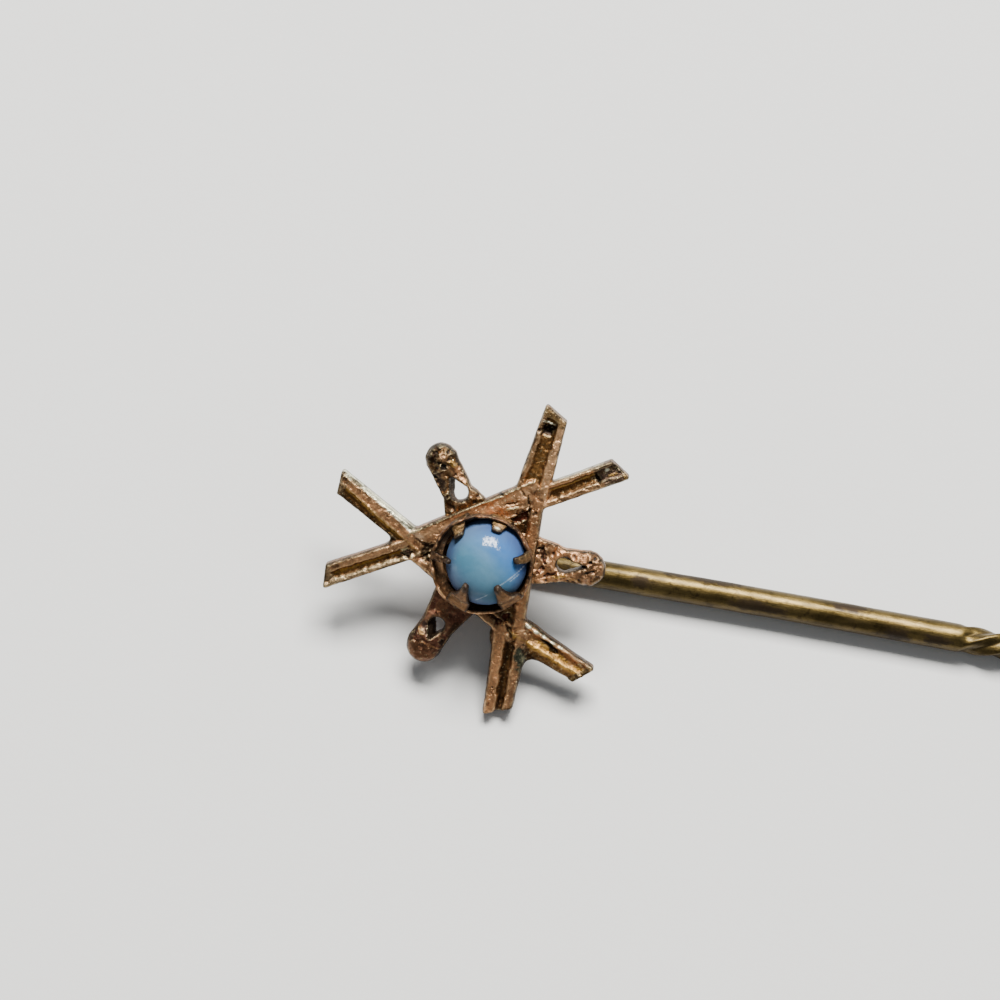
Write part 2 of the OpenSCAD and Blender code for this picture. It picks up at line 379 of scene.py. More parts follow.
def add_panel(name, direction, size_mm, watts):
    """A glowing rectangle that faces the star's middle from a direction."""
    way = direction / np.linalg.norm(direction)
    data = bpy.data.lights.new(name, "AREA")
    data.shape = "RECTANGLE"
    data.size, data.size_y = size_mm[0] * MM, size_mm[1] * MM
    data.energy = watts
    data.color = DAYLIGHT
    side = np.cross([0.0, 1.0, 0.0], way)
    side /= np.linalg.norm(side)
    stand(data, side, np.cross(way, side), way, HEAD_MIDDLE + way * PANEL_FAR_MM)


for panel_name, panel_row in PANELS.items():
    add_panel(panel_name, *panel_row)

world = bpy.data.worlds.new("room")
world.use_nodes = True
background = world.node_tree.nodes["Background"]
background.inputs["Color"].default_value = ROOM_COLOUR
background.inputs["Strength"].default_value = ROOM_STRENGTH
bpy.context.scene.world = world

# %% [markdown]
# ## The floor
# The pin lies on pale paper. A flat grid is enough for it, and its finish is only a little uneven, with
# faint smudges, so that it never looks like empty space.

# %% Floor
FLOOR_MM = 1200.0
FLOOR_POINTS = 9


def floor_finish():
    """Pale paper grey with faint smudges, slow changes of brightness, and a fine grain."""
    paint = Paint("pale_floor")
    smudge = paint.noise(14, 3, 0.55).above(0.52, 0.80)
    cloud = paint.noise(60, 2, 0.5)
    base = paint.mix(smudge * 0.35, from_screen(220, 220, 218), from_screen(212, 211, 208))
    base = paint.scaled(base, 0.985 + 0.03 * cloud)
    grain = paint.noise(0.8, 4, 0.7)
    return paint.finish(Base_Color=base, Roughness=0.55, Normal=paint.bump(grain, 0.02, 0.3))


def add_floor():
    """A flat grid, well past the picture's edges."""
    steps = np.linspace(-FLOOR_MM / 2, FLOOR_MM / 2, FLOOR_POINTS)
    x, y = np.meshgrid(steps, steps)
    points = np.stack([x.ravel(), y.ravel(), np.zeros(x.size)], 1) * MM
    mesh = bpy.data.meshes.new("floor")
    mesh.from_pydata(points.tolist(), [], grid_quads(FLOOR_POINTS, FLOOR_POINTS, False).tolist())
    mesh.materials.append(floor_finish())
    floor = bpy.data.objects.new("floor", mesh)
    bpy.context.scene.collection.objects.link(floor)


add_floor()

# %% [markdown]
# ## The finish of the old metal
# The head was once bright. Handling has rubbed the high edges to a pale rose and gold, and the hollows
# have gone brown and nearly black. Each point of the mesh carries a tone, which a table gives by where
# it lies, and an amount of oxide. The finish adds what is smaller than the mesh: speckle and grain.

# %% Tones and the metal finish
# A tone as the photograph shows it becomes the metal's own colour by a gain, because the star leans away
# from the window and mirrors only part of its light. The tones of the hollows have a gain of their own.
LIT_GAIN = (1.72, 1.48, 1.28)
# The whitest tone here is only used for painted highlights: glints, a claw's bright tip and sides that face
# the window.
LIT = {"painted_glint": (250, 228, 196), "pale": (226, 196, 162), "blush": (202, 162, 126), "rose": (166, 128, 94),
       "tan": (146, 117, 88), "copper": (122, 92, 68), "brass": (196, 160, 108), "gold": (158, 126, 60),
       "grey": (122, 108, 86), "block": (116, 100, 70), "khaki": (72, 60, 36)}
SHADED_GAIN = (1.62, 1.55, 1.5)
SHADED = {"olive": (108, 78, 42), "brown": (82, 57, 30), "dark": (50, 34, 20), "black": (24, 17, 12),
          "violet": (66, 55, 48), "green": (46, 56, 46), "red": (74, 36, 24), "umber": (88, 56, 42)}
TONES = {name: tuple(np.clip(np.array(from_screen(*shown)) * gain, 0, 0.95))
         for table, gain in [(LIT, LIT_GAIN), (SHADED, SHADED_GAIN)] for name, shown in table.items()}
print(len(TONES), "tones of old metal")


def all_over(shape, colour):
    """One colour at every point."""
    return np.zeros((*shape, 3)) + colour


def tint(tone, *layers):
    """A tone with layers over it: each moves it towards a named tone, or a colour as a screen shows it, by
    an amount from 0 to 1 at each point."""
    for name, amount in layers:
        colour = TONES[name] if name in TONES else from_screen(*name)
        tone = tone + (np.array(colour) - tone) * amount[..., None]
    return tone


def patina_finish():
    """Metal under a thin, broken skin of oxide: tone from the mesh, grain and pits from noise."""
    paint = Paint("worn_copper")
    tone = paint.carried("tone", "Color")
    oxide = paint.carried("oxide")
    mottle = paint.noise(0.42, 5, 0.62)
    patch = mottle.above(0.36, 0.64)
    grain = paint.noise(0.11, 4, 0.7)
    speck = grain.above(0.34, 0.66)
    pits = paint.noise(0.17, 3, 0.6, 0.4).above(0.60, 0.70)
    fleck = paint.noise(0.13, 3, 0.6, 0.2).above(0.60, 0.72)
    base = paint.scaled(tone, 0.50 + 0.40 * patch + 0.36 * speck)
    base = paint.mix(pits * 0.6, base, TONES["dark"])
    base = paint.mix(fleck * 0.3, base, TONES["pale"])
    base = paint.mix(oxide * 0.8, base, TONES["black"])
    roughness = (0.27 + 0.16 * patch + 0.25 * pits + 0.25 * oxide).clamped()
    metallic = (0.92 - 0.25 * pits - 0.6 * oxide).clamped()
    lumps = grain + 0.8 * mottle - 0.7 * pits
    return paint.finish(Base_Color=base, Roughness=roughness, Metallic=metallic,
                        Normal=paint.bump(lumps, 0.035, 0.9))


PATINA = patina_finish()


def add_metal(name, u, v, n, oxide, tone, quads=None):
    """A piece of the head's old metal, in the head's axes. A grid of points gets its faces here."""
    quads = grid_quads(*n.shape)[:, ::-1] if quads is None else quads
    add_piece(name, head_to_world(u, v, n), quads, PATINA, "soldered_mount", {"oxide": oxide}, tone)


# %% [markdown]
# ## The star: three bars that cross
# The real star is three straight bars, soldered where they cross. Each has two raised lips with a
# groove between them, but no two are worn alike. A star like this could be cut from solid bars; here
# its front is one height over the star's plane, read from a small table for each stretch of bar: how
# high the metal is, and of what tone, from one side of the bar to the other. The tones hold painted
# light and shade as well as the metal's own: some sides turned to the window are painted as
# highlights, and some grooves, lower lips and sides turned away from it are painted dark as shade.

# %% Across each bar
BAR_T = 0.6
# Painted light and shade in these tones: the rows at C's right edge are its side turned to the window,
# painted as a highlight, its brass crest is worn brass with a painted highlight, and its olive, brown and
# dark rows beyond the crest are its groove and lower lip in painted shade. E's dark groove and F's dark and
# brown lower bevel are painted shade, and F's blush upper lip is partly a painted highlight.
# Across a bar from its right (-1) to its left (1), looking outwards: place, height, tone
SECTIONS = {
    "A": [(-1, .5, "copper"), (-.9, .59, "blush"), (-.42, .57, "blush"), (-.32, .42, "brown"),
          (-.18, .38, "olive"), (.1, .4, "olive"), (.45, .38, "olive"), (.56, .5, "olive"),
          (.68, .58, "tan"), (.92, .6, "tan"), (1, .5, "grey")],
    "B": [(-1, .48, "copper"), (-.85, .59, "tan"), (-.42, .57, "tan"), (-.28, .42, "brown"),
          (0, .37, "brown"), (.22, .39, "olive"), (.38, .47, "gold"), (.52, .46, "olive"),
          (.66, .57, "rose"), (.9, .6, "tan"), (1, .52, "grey")],
    "C": [(-1, .50, "painted_glint"), (-.84, .56, "painted_glint"), (-.74, .58, "copper"), (-.6, .59, "tan"),
          (-.1, .60, "rose"), (.0, .60, "tan"), (.08, .64, "brass"), (.16, .58, "gold"), (.26, .46, "gold"),
          (.5, .4, "olive"), (.72, .44, "brown"), (.9, .46, "dark"), (1, .42, "dark")],
    "D": [(-1, .5, "copper"), (-.88, .6, "tan"), (-.32, .58, "tan"), (-.2, .46, "copper"),
          (-.05, .41, "gold"), (.14, .4, "olive"), (.34, .41, "brown"), (.48, .54, "grey"),
          (.74, .6, "grey"), (.9, .57, "copper"), (1, .5, "copper")],
    "E": [(-1, .5, "copper"), (-.86, .6, "rose"), (-.34, .58, "rose"), (-.24, .47, "brown"),
          (-.1, .38, "dark"), (.1, .37, "brown"), (.24, .4, "brown"), (.34, .57, "rose"),
          (.5, .59, "tan"), (.84, .6, "copper"), (1, .5, "brown")],
    "F": [(-1, .34, "dark"), (-.8, .42, "brown"), (-.5, .48, "olive"), (-.22, .54, "gold"),
          (-.15, .61, "gold"), (-.09, .54, "gold"), (.03, .46, "olive"), (.3, .42, "gold"),
          (.52, .44, "tan"), (.66, .5, "copper"), (.74, .56, "rose"), (.82, .58, "blush"),
          (.9, .57, "tan"), (.96, .52, "brown"), (1, .48, "dark")],
    "left_top": [(-1, .42, "dark"), (-.8, .45, "brown"), (-.66, .57, "blush"), (-.55, .52, "tan"),
                 (-.3, .53, "tan"), (.08, .56, "rose"), (.5, .57, "blush"), (.82, .59, "rose"),
                 (.92, .64, "pale"), (.97, .60, "rose"), (1, .50, "copper")],
    "low_left": [(-1, .5, "brown"), (-.6, .53, "brown"), (-.2, .42, "dark"), (.06, .44, "brown"),
                 (.14, .55, "rose"), (.24, .44, "dark"), (.42, .42, "dark"), (.56, .55, "copper"),
                 (.85, .6, "tan"), (1, .5, "tan")],
    "top_low": [(-1, .42, "dark"), (-.5, .44, "brown"), (-.1, .42, "dark"), (.08, .52, "copper"),
                (.2, .58, "rose"), (.6, .6, "rose"), (.86, .6, "tan"), (1, .5, "tan")],
}


def section(name, share):
    """Height and tone across one stretch of bar, read between the rows of its table."""
    at, heights, names = zip(*SECTIONS[name])
    tones = np.array([TONES[tone_name] for tone_name in names])
    tone = np.stack([np.interp(share, at, tones[:, k]) for k in range(3)], -1)
    return np.interp(share, at, heights), tone


print(len(SECTIONS), "stretches of bar")

# %% [markdown]
# Each bar is made of two arms and the side of the triangle between them. The arms lean and spread as the
# hand-soldered ones do, so each has a row of its own.

# %% Arms and sides
CORNERS = {name: np.array(turned(far, 0.0, turn))
           for name, turn, far in [("top", 62.5, 3.05), ("left", 182.0, 2.78), ("low", 298.2, 3.18)]}
INNER_HALF = 0.575
ARM_LEN = 3.9
END_SKEW = 0.19
END_ROUND = 0.10
# Each arm: its end, the way it points, its half width at the root, the side that stands further out,
# its half width at the end, how far wear has drawn the end out, how its ridges drift sideways, and how
# far in it reaches. Arm E reaches less far, or its wide root would show as a lump beside F
ARM_ROWS = {
    "A": (1.825, 6.283, 82.4, 0.71, 1, 0.52, 0.12, 0, 3.9),
    "B": (4.7, 4.47, 30.5, 0.45, -1, 0.49, 0.14, 0, 3.9),
    "C": (-6.38, 1.905, 150.1, 0.465, -1, 0.475, 0.11, 0.13, 3.9),
    "D": (-6.38, -2.095, 209.1, 0.46, 1, 0.47, 0.11, 0, 3.9),
    "E": (1.5, -6.53, 269.4, 0.74, -1, 0.6, 0.03, 0, 3.42),
    "F": (4.728, -4.375, 336.6, 0.645, 1, 0.5, 0.05, 0, 3.9),
}
DRIFT_FROM = 1.75
# The closed ends of the grooves: tone, how far in they reach, and their height
END_BLOCKS = {"A": ("block", 0.36, 0.56), "B": ("violet", 0.92, 0.47), "C": ("grey", 0.2, 0.5),
              "D": ("grey", 0.24, 0.52), "F": ("block", 0.28, 0.52)}
ARM_CORNER = {"A": "top", "B": "top", "C": "left", "D": "left", "E": "low", "F": "low"}
ARM_REACH = {name: np.hypot(*(np.array(row[:2]) - CORNERS[ARM_CORNER[name]]))
             for name, row in ARM_ROWS.items()}
# Each side of the triangle: the corners that it joins, and how far it stands out from their line at each
SIDE_ROWS = {"left_top": ("left", "top", 0.71, 0.67), "low_left": ("low", "left", 0.65, 0.76),
             "top_low": ("top", "low", 0.56, 0.51)}
print("arms, mm:", {name: float(round(reach, 2)) for name, reach in ARM_REACH.items()})


def arm_place(u, v, row):
    """Along the arm (0 at its end, less inwards), across it as a share of its half width, and how far in
    from the slanted end a point is."""
    end_u, end_v, turn, root_half, slant, end_half, drawn = row[:7]
    along, across = turned(u - end_u, v - end_v, -turn)
    share = across / (end_half + (root_half - end_half) * np.clip(-along / ARM_LEN, 0, 1))
    return along, share, slant * share * END_SKEW + drawn - along


def side_line(row):
    """Where a side starts, its length, and the way it runs."""
    start, end = CORNERS[row[0]], CORNERS[row[1]]
    length = np.linalg.norm(end - start)
    return start, length, (end - start) / length


def side_place(u, v, row):
    """Along a side of the triangle, across it as a share of its half width, and its length."""
    start, length, way = side_line(row)
    along = (u - start[0]) * way[0] + (v - start[1]) * way[1]
    across = -(u - start[0]) * way[1] + (v - start[1]) * way[0]
    outer = row[2] + (row[3] - row[2]) * np.clip(along / length, 0, 1)
    return along, across / np.where(across > 0, outer, INNER_HALF), length


# %% [markdown]
# The outline joins the arms and the sides. Solder has filled the crotch between the two arms of each
# corner, and closed the triangle's inner corners with thin metal.

# %% The star's outline
# How widely the corner between each two arms is filled
CROTCH_FILL = {"top": 0.12, "left": 0.55, "low": 0.80}
SIDE_FILL = 0.12
# Thin metal in the triangle's inner corners: middle and radius
POCKETS = [(1, 1.8, 0.55), (-2.2, -0.15, 0.55), (-2.75, -0.1, 0.45), (1.15, -2.15, 0.55)]


def arm_distance(u, v, row):
    """Signed distance to an arm: a shape with four sides and slightly rounded corners."""
    end_u, end_v, turn, root_half, slant, end_half, drawn, _, reach = row
    x, y = turned(u - end_u, v - end_v, -turn)
    skew, r = slant * END_SKEW, END_ROUND
    return polygon_distance(x - drawn, y, [(-reach, r - root_half), (-skew - r, r - end_half),
                                           (skew - r, end_half - r), (-reach, root_half - r)]) - r


def strip_distance(u, v, row):
    """Signed distance to a side of the triangle: a strip that is wider on its outer side."""
    start, _, way = side_line(row)
    end, out = CORNERS[row[1]], np.array([-way[1], way[0]])
    corners = [start - INNER_HALF * out, end - INNER_HALF * out, end + row[3] * out, start + row[2] * out]
    return polygon_distance(u, v, [tuple(corner) for corner in corners])


def star_distance(u, v):
    """Signed distance to the three bars: arms in pairs, each pair's corner filled, the sides and the thin
    metal. The edge wanders by hundredths of a millimetre."""
    best = np.full(u.shape, np.inf)
    for corner, fill in CROTCH_FILL.items():
        pair = [arm_distance(u, v, row) for name, row in ARM_ROWS.items() if ARM_CORNER[name] == corner]
        best = np.minimum(best, join(*pair, fill))
    for row in SIDE_ROWS.values():
        best = join(best, strip_distance(u, v, row), SIDE_FILL)
    for mid_u, mid_v, r in POCKETS:
        best = np.minimum(best, np.hypot(u - mid_u, v - mid_v) - r)
    return best + 0.014 * rough(u, v, 0.8, 1) + 0.005 * noise(u, v, 0.16, 5)


# %% [markdown]
# Where bars cross, the higher metal lies on top of the lower, with a little solder between. A mean of
# all the heights does this by itself, if each counts by e to the power of its height.

# %% The star's front
HIGHER_COUNTS = 26
THIN_METAL = 0.36


def star_front(u, v):
    """Height and tone of the star's front: the mean of the bars' own, in which the higher counts more."""
    wobble = 0.06 * noise(u, v, 0.5, 3) + 0.06 * noise(u, v, 0.17, 4)
    layers = []
    for name, row in ARM_ROWS.items():
        along, share, inset = arm_place(u, v, row)
        drift = row[7] * (along + DRIFT_FROM)
        height, tone = section(name, np.clip(share + wobble + drift * (np.abs(share) < 0.8), -1, 1))
        if name in END_BLOCKS:
            block, reach, block_height = END_BLOCKS[name]
            ragged = inset + 0.10 * noise(u, v, 0.3, 7) + 0.06 * noise(u, v, 0.12, 2)
            closing = fade(reach - 0.06, reach + 0.05, ragged)
            height = height + (np.maximum(height, block_height) - height) * closing
            tone = tint(tone, (block, closing * 0.85))
        on_bar = fade(0.98, 1.12, np.abs(share))
        on_bar = on_bar * fade(ARM_REACH[name] - 0.45, ARM_REACH[name] + 0.15, -along)
        layers.append((height, tone, on_bar))
    for name, row in SIDE_ROWS.items():
        along, share, length = side_place(u, v, row)
        height, tone = section(name, np.clip(share + wobble, -1, 1))
        on_bar = fade(0.98, 1.12, np.abs(share)) * rise(-0.5, 0.2, along) * rise(-0.5, 0.2, length - along)
        layers.append((height, tone, on_bar))
    heights, tones, on_bars = [np.stack(column) for column in zip(*layers)]
    weight = on_bars * np.exp(HIGHER_COUNTS * (heights - BAR_T)) + 1e-9
    total = weight.sum(0)
    height = (weight * heights).sum(0) / total
    tone = (weight[..., None] * tones).sum(0) / total[..., None]
    off_bars = 1 - np.clip(on_bars.max(0), 0, 1)
    return height + (THIN_METAL - height) * off_bars, tint(tone, ("brown", off_bars))


# %% [markdown]
# ## A closed shell from an outline
# A flat shape with a front and a back height becomes a closed shell: squares of a fine grid are kept
# where their middle is inside the outline, the outer points slide onto the outline itself, and rings
# of points run down the edge to the back.

# %% The squares that are kept
def kept_squares(distance, u, v, step):
    """The squares whose middle is inside the outline. Where two of them meet at a corner alone, the
    square between them is kept too, because a shell can't pass through one point twice."""
    cells = distance(u[:-1, :-1] + step / 2, v[:-1, :-1] + step / 2) < 0
    cells[0, :] = cells[-1, :] = cells[:, 0] = cells[:, -1] = False
    for _ in range(3):
        cells[1:, :-1] |= cells[:-1, :-1] & cells[1:, 1:] & ~cells[1:, :-1] & ~cells[:-1, 1:]
        cells[:-1, :-1] |= cells[1:, :-1] & cells[:-1, 1:] & ~cells[:-1, :-1] & ~cells[1:, 1:]
    return cells


def border_edges(cells, corners):
    """The first and last points of each edge of a kept square that no other kept square shares."""
    near = np.pad(cells, 1)
    sides = [(0, 1, near[:-2, 1:-1]), (2, 3, near[2:, 1:-1]), (3, 0, near[1:-1, :-2]), (1, 2, near[1:-1, 2:])]
    return (np.concatenate([corners[first][cells & ~beside] for first, _, beside in sides]),
            np.concatenate([corners[last][cells & ~beside] for _, last, beside in sides]))


# %% The shell
EDGE_RINGS = 6
EDGE_BULGE = 0.012
SLOPE_STEP = 0.02


def outline_slope(distance, u, v):
    """The way out of the outline, from the distance a little further along each axis."""
    du = (distance(u + SLOPE_STEP, v) - distance(u - SLOPE_STEP, v)) / (2 * SLOPE_STEP)
    dv = (distance(u, v + SLOPE_STEP) - distance(u, v - SLOPE_STEP)) / (2 * SLOPE_STEP)
    size = np.hypot(du, dv) + 1e-9
    return du / size, dv / size, size


def shell(distance, front, back, box, step, flare=None):
    """Points and faces of a closed shell over the plane, and each point's depth below the front (0 to 1)
    and distance from the edge. Where flare is given, the edge leans out by it on its way to the back."""
    u, v = np.meshgrid(np.arange(box[0], box[1] + step, step), np.arange(box[2], box[3] + step, step))
    cells = kept_squares(distance, u, v, step)
    near = np.pad(cells, 1).astype(int)
    count = near[:-1, :-1] + near[:-1, 1:] + near[1:, :-1] + near[1:, 1:]
    used, rim = count > 0, (count > 0) & (count < 4)
    many = used.sum()
    index = np.full(u.shape, -1)
    index[used] = np.arange(many)
    rim_ids, rim_u, rim_v = index[rim], u[rim], v[rim]
    for _ in range(3):
        out_u, out_v, size = outline_slope(distance, rim_u, rim_v)
        move = np.clip(distance(rim_u, rim_v) / size, -0.7 * step, 0.7 * step)
        rim_u, rim_v = rim_u - out_u * move, rim_v - out_v * move
    u[rim], v[rim] = rim_u, rim_v
    out_u, out_v, _ = outline_slope(distance, rim_u, rim_v)
    lean = np.zeros(len(rim_u)) if flare is None else flare(rim_u, rim_v, out_u, out_v)

    front_u, front_v = u[used], v[used]
    back_u, back_v = front_u.copy(), front_v.copy()
    back_u[rim_ids], back_v[rim_ids] = rim_u + out_u * lean, rim_v + out_v * lean
    deep = distance(front_u, front_v)
    top, low = front(front_u, front_v, deep), back(front_u, front_v, deep)
    points = [np.stack([front_u, front_v, top], -1), np.stack([back_u, back_v, low], -1)]
    depth, inset = [np.zeros(many), np.ones(many)], [-deep, -deep]
    for ring in range(1, EDGE_RINGS + 1):
        t = ring / (EDGE_RINGS + 1)
        bulge = EDGE_BULGE * np.sin(np.pi * t) + lean * t
        points.append(np.stack([rim_u + out_u * bulge, rim_v + out_v * bulge,
                                top[rim_ids] * (1 - t) + low[rim_ids] * t], -1))
        depth.append(np.full(len(rim_ids), t))
        inset.append(np.zeros(len(rim_ids)))

    corners = [index[:-1, :-1], index[:-1, 1:], index[1:, 1:], index[1:, :-1]]
    squares = np.stack([corner[cells] for corner in corners], -1)
    place_in_ring = np.full(many, -1)
    place_in_ring[rim_ids] = np.arange(len(rim_ids))
    rings = 2 * many + len(rim_ids) * np.arange(EDGE_RINGS)[:, None]
    first, last = [[ids, *(rings + place_in_ring[ids]), ids + many] for ids in border_edges(cells, corners)]
    walls = [np.stack([first[k + 1], last[k + 1], last[k], first[k]], -1) for k in range(EDGE_RINGS + 1)]
    faces = np.concatenate([squares, squares[:, ::-1] + many, *walls])
    return np.concatenate(points), faces, np.concatenate(depth), np.concatenate(inset)


def rounded_edge(inset, radius):
    """How much lower the surface is near an edge: a quarter round."""
    return radius * (1 - quarter_round(1 - inset / radius))


# %% [markdown]
# ## Blemishes, glints and shade
# Old blemishes, painted glints and painted shade are listed one row for each: where it is on the star, how
# long and wide it is, how it is turned, its tone, how strong it is, and how much deeper or higher the
# metal is there.

# %% Blemishes, painted glints and painted shade on the star
# The glint rows and the pale rows are painted highlights. The black and dark rows over pits, pockets and
# crevices are the metal's dirt and painted shade together, and the other rows are its own stains and wear.
STAR_MARKS = [
    (1.6, 5.64, .3, .31, 82, "violet", 1, -.14), (1.62, 5.66, .2, .22, 82, "black", 1, -.06),
    (1.62, 5.97, .05, .24, 75, "painted_glint", .95, .05),
    (4.25, 4.44, .1, .07, 40, "painted_glint", .8, .04), (4.55, 4.3, .2, .05, 30, "gold", .8, .03),
    (3.92, 4.05, .1, .3, 30, "black", 1, -.07), (5.02, 4.42, .07, .34, 20, "gold", .7, .02),
    (4.4, 4.05, .26, .05, 30, "black", .8, -.04), (4.75, 4.62, .22, .05, 30, "black", .8, -.03),
    (-5.75, 2.06, .34, .1, 150, "dark", .95, -.04), (-6.25, 2.2, .12, .12, 150, "dark", .8, 0),
    (-6.26, 1.8, .1, .34, 150, "grey", .8, 0), (-6.1, -1.6, .2, .08, 209, "dark", .8, -.02),
    (-6.22, -2.05, .1, .36, 209, "grey", .8, 0), (-5.9, -2.36, .3, .1, 209, "dark", .8, -.03),
    (-2.47, -.24, .34, .24, 60, "black", .9, -.14), (-3.24, -.52, .26, .2, 20, "black", .95, -.1),
    (-3.42, -.38, .14, .04, 20, "pale", .9, .03), (-3.05, -.62, .05, .14, 10, "pale", .9, .03),
    (-2.75, .05, .3, .06, -30, "dark", .8, -.05), (-3.55, -.75, .22, .05, 30, "dark", .8, -.04),
    (.16, 2.64, .16, .07, 20, "black", 1, -.1), (1.1, 1.82, .34, .22, 50, "red", .95, -.1),
    (1.36, 2.4, .38, .05, 105, "black", .9, -.07), (.64, 2.34, .3, .06, 20, "dark", .85, -.06),
    (1.05, 2.86, .22, .06, -50, "dark", .85, -.06), (1.66, 2.1, .12, .08, 60, "black", .8, -.06),
    (1.1, 2.25, .3, .05, 30, "blush", .7, .04), (.66, 2.12, .28, .06, 20, "pale", .8, .06),
    (1.55, 3.05, .2, .06, 60, "dark", .7, -.05), (1.95, 2.75, .06, .24, 10, "blush", .8, .04),
    (3.15, -3.34, .44, .1, -28, "black", 1, -.07), (3.36, -3.6, .24, .11, -24, "dark", .9, -.05),
    (4.25, -3.88, .42, .18, -23, "rose", .75, 0), (2.36, -3.12, .42, .2, -30, "tan", .7, 0),
    (2.18, -2.71, .17, .06, -23, "painted_glint", .95, .03), (2.54, -2.88, .16, .06, -20, "painted_glint", .95, .03),
    (2.9, -3.05, .15, .05, -26, "painted_glint", .95, .03), (3.26, -3.22, .11, .05, -23, "painted_glint", .9, .03),
    (3.63, -3.39, .13, .04, -20, "painted_glint", .8, .02), (4.52, -3.98, .12, .05, -23, "pale", .8, .03),
    (2.05, -4.1, .62, .24, 285, "green", .95, -.02), (2.25, -3.8, .3, .14, 300, "dark", .8, -.03),
    (4.55, -4.45, .14, .12, -24, "violet", .6, 0), (1.1, -2.55, .4, .12, 45, "red", .9, -.08),
    (1.4, -3.05, .3, .08, 300, "dark", .8, -.06), (1.9, -2.95, .18, .06, 20, "blush", .7, .03),
    (1.05, -6.3, .12, .12, 0, "red", .6, -.02), (1.12, -5.55, .05, .05, 0, "black", 1, -.04),
]
print(len(STAR_MARKS), "blemishes_glints_and_shade on the star")


def marked(u, v, tone, rows):
    """Mix each mark's tone in where a point is inside its ragged oval, and add up the height changes."""
    change = np.zeros(u.shape)
    ragged = 0.35 * noise(u, v, 0.14, 6) + 0.2 * noise(u, v, 0.06, 8)
    for mark_u, mark_v, long, wide, turn, name, strength, raised in rows:
        x, y = turned(u - mark_u, v - mark_v, -turn)
        amount = fade(0.75, 1.15, np.hypot(x / long, y / wide) + ragged) * strength
        tone = tint(tone, (name, amount))
        change = change + raised * amount
    return tone, change


# %% [markdown]
# ## The star's surface
# The front's small dents come from noise, and pits are noise cut off below a level. Where the metal is
# higher than its surroundings it is rubbed bright, and where it is lower it is dark: the height is
# compared with the height of the points around it.

# %% The star's front and back
def star_height(u, v, deep):
    """The front's height with its marks, dents and rounded edges."""
    height, tone = star_front(u, v)
    _, change = marked(u, v, tone, STAR_MARKS)
    dents = 0.012 * rough(u, v, 0.35, 2) + 0.008 * noise(u, v, 0.1, 9)
    pits = -0.035 * rise(0.45, 0.8, noise(u, v, 0.13, 10))
    return height + change + dents + pits - rounded_edge(-deep, 0.05)


def flat_back(u, v, deep):
    """The back is plain, a little dented, and rounded at its edges."""
    return 0.02 * rough(u, v, 0.8, 4) * rise(0, 0.3, -deep) + rounded_edge(-deep, 0.05)


HOLLOW_REACH = 0.07
FAR_FROM_EDGE = -1.0
BESIDE_THE_METAL = 0.2


def hollow(distance, height, u, v):
    """How far a point lies below the mean height of eight points around it: above 0 in a hollow."""
    surface = lambda a, b: np.where(distance(a, b) < 0, height(a, b, FAR_FROM_EDGE), BESIDE_THE_METAL)
    around = 0
    for turn in range(8):
        du, dv = turned(HOLLOW_REACH, 0.0, 45 * turn)
        around = around + surface(u + du, v + dv)
    return around / 8 - surface(u, v)


# %% The star
STAR_BOX = (-7.3, 5.7, -7.3, 7.0)
STAR_STEP = 0.042
# The walls that face the window, painted with a highlight: the arm, which side of it, and how bright
WINDOW_LIT_WALLS = [("C", -1, 0.95), ("B", 1, 0.4)]
# How far in from an arm's end such a wall runs
LIT_WALL_FROM, LIT_WALL_TO = 0.1, 3.4


def star_piece():
    """The star's shell. Its tones are the sections' and the marks', darker in hollows, paler on ridges,
    with painted shade as a black line along the front's edge and down the walls, and a painted highlight
    on the walls that face the window."""
    points, faces, depth, inset = shell(star_distance, star_height, flat_back, STAR_BOX, STAR_STEP)
    u, v = points[:, 0], points[:, 1]
    tone = marked(u, v, star_front(u, v)[1], STAR_MARKS)[0]
    dip = hollow(star_distance, star_height, u, v)
    is_front = depth < 0.01
    low, high = rise(0.004, 0.05, dip) * is_front, rise(0.004, 0.03, -dip) * is_front
    shaded_edge = fade(0.035, 0.09, inset + 0.035 * noise(u, v, 0.3, 9)) * is_front
    # The walls that face the window are painted white as a highlight, with no painted dark edge above them.
    lit_walls = []
    for name, side, bright in WINDOW_LIT_WALLS:
        _, share, inwards = arm_place(u, v, ARM_ROWS[name])
        near = np.abs(share) < 1.3
        shaded_edge = shaded_edge * (1 - rise(0.5, 0.7, side * share) * near * (inwards > LIT_WALL_FROM) * (inwards < LIT_WALL_TO))
        here = rise(0.8, 0.95, side * share) * (depth > 0.01) * near
        here = here * rise(-0.1, 0.1, inwards) * fade(LIT_WALL_TO - 0.2, LIT_WALL_TO + 0.2, inwards)
        lit_walls.append(("painted_glint", bright * (here * rise(-0.5, 0.2, rough(u + 3, v, 0.22, 2)))))
    # Painted shade: a black line along the front's edge, and the walls brown and then black towards the back.
    tone = tint(tone, ("dark", 0.35 * low), ("pale", 0.22 * high), ("black", 0.85 * shaded_edge),
                ("brown", 0.6 * rise(0.05, 0.3, depth)), *lit_walls, ("black", 0.9 * rise(0.55, 0.8, depth)))
    oxide = np.clip(0.25 * low + 0.2 * rise(0.3, 0.9, rough(u, v, 0.5, 7)), 0, 1)
    add_metal("star", u, v, points[:, 2], oxide, tone, faces)


star_piece()

# %% [markdown]
# ## The three lobes
# From the middle of each side a small pear-shaped lobe stands out, pierced with a hole like a drop and
# ending in a round knob. They were cast or melted, so they are the lumpiest part of the head. Each is
# a shell like the star's, drawn along its own line and then turned to its place.

# %% The lobes' measurements and marks
LOBE_T = 0.45
LOBE_ROOT = 1.775
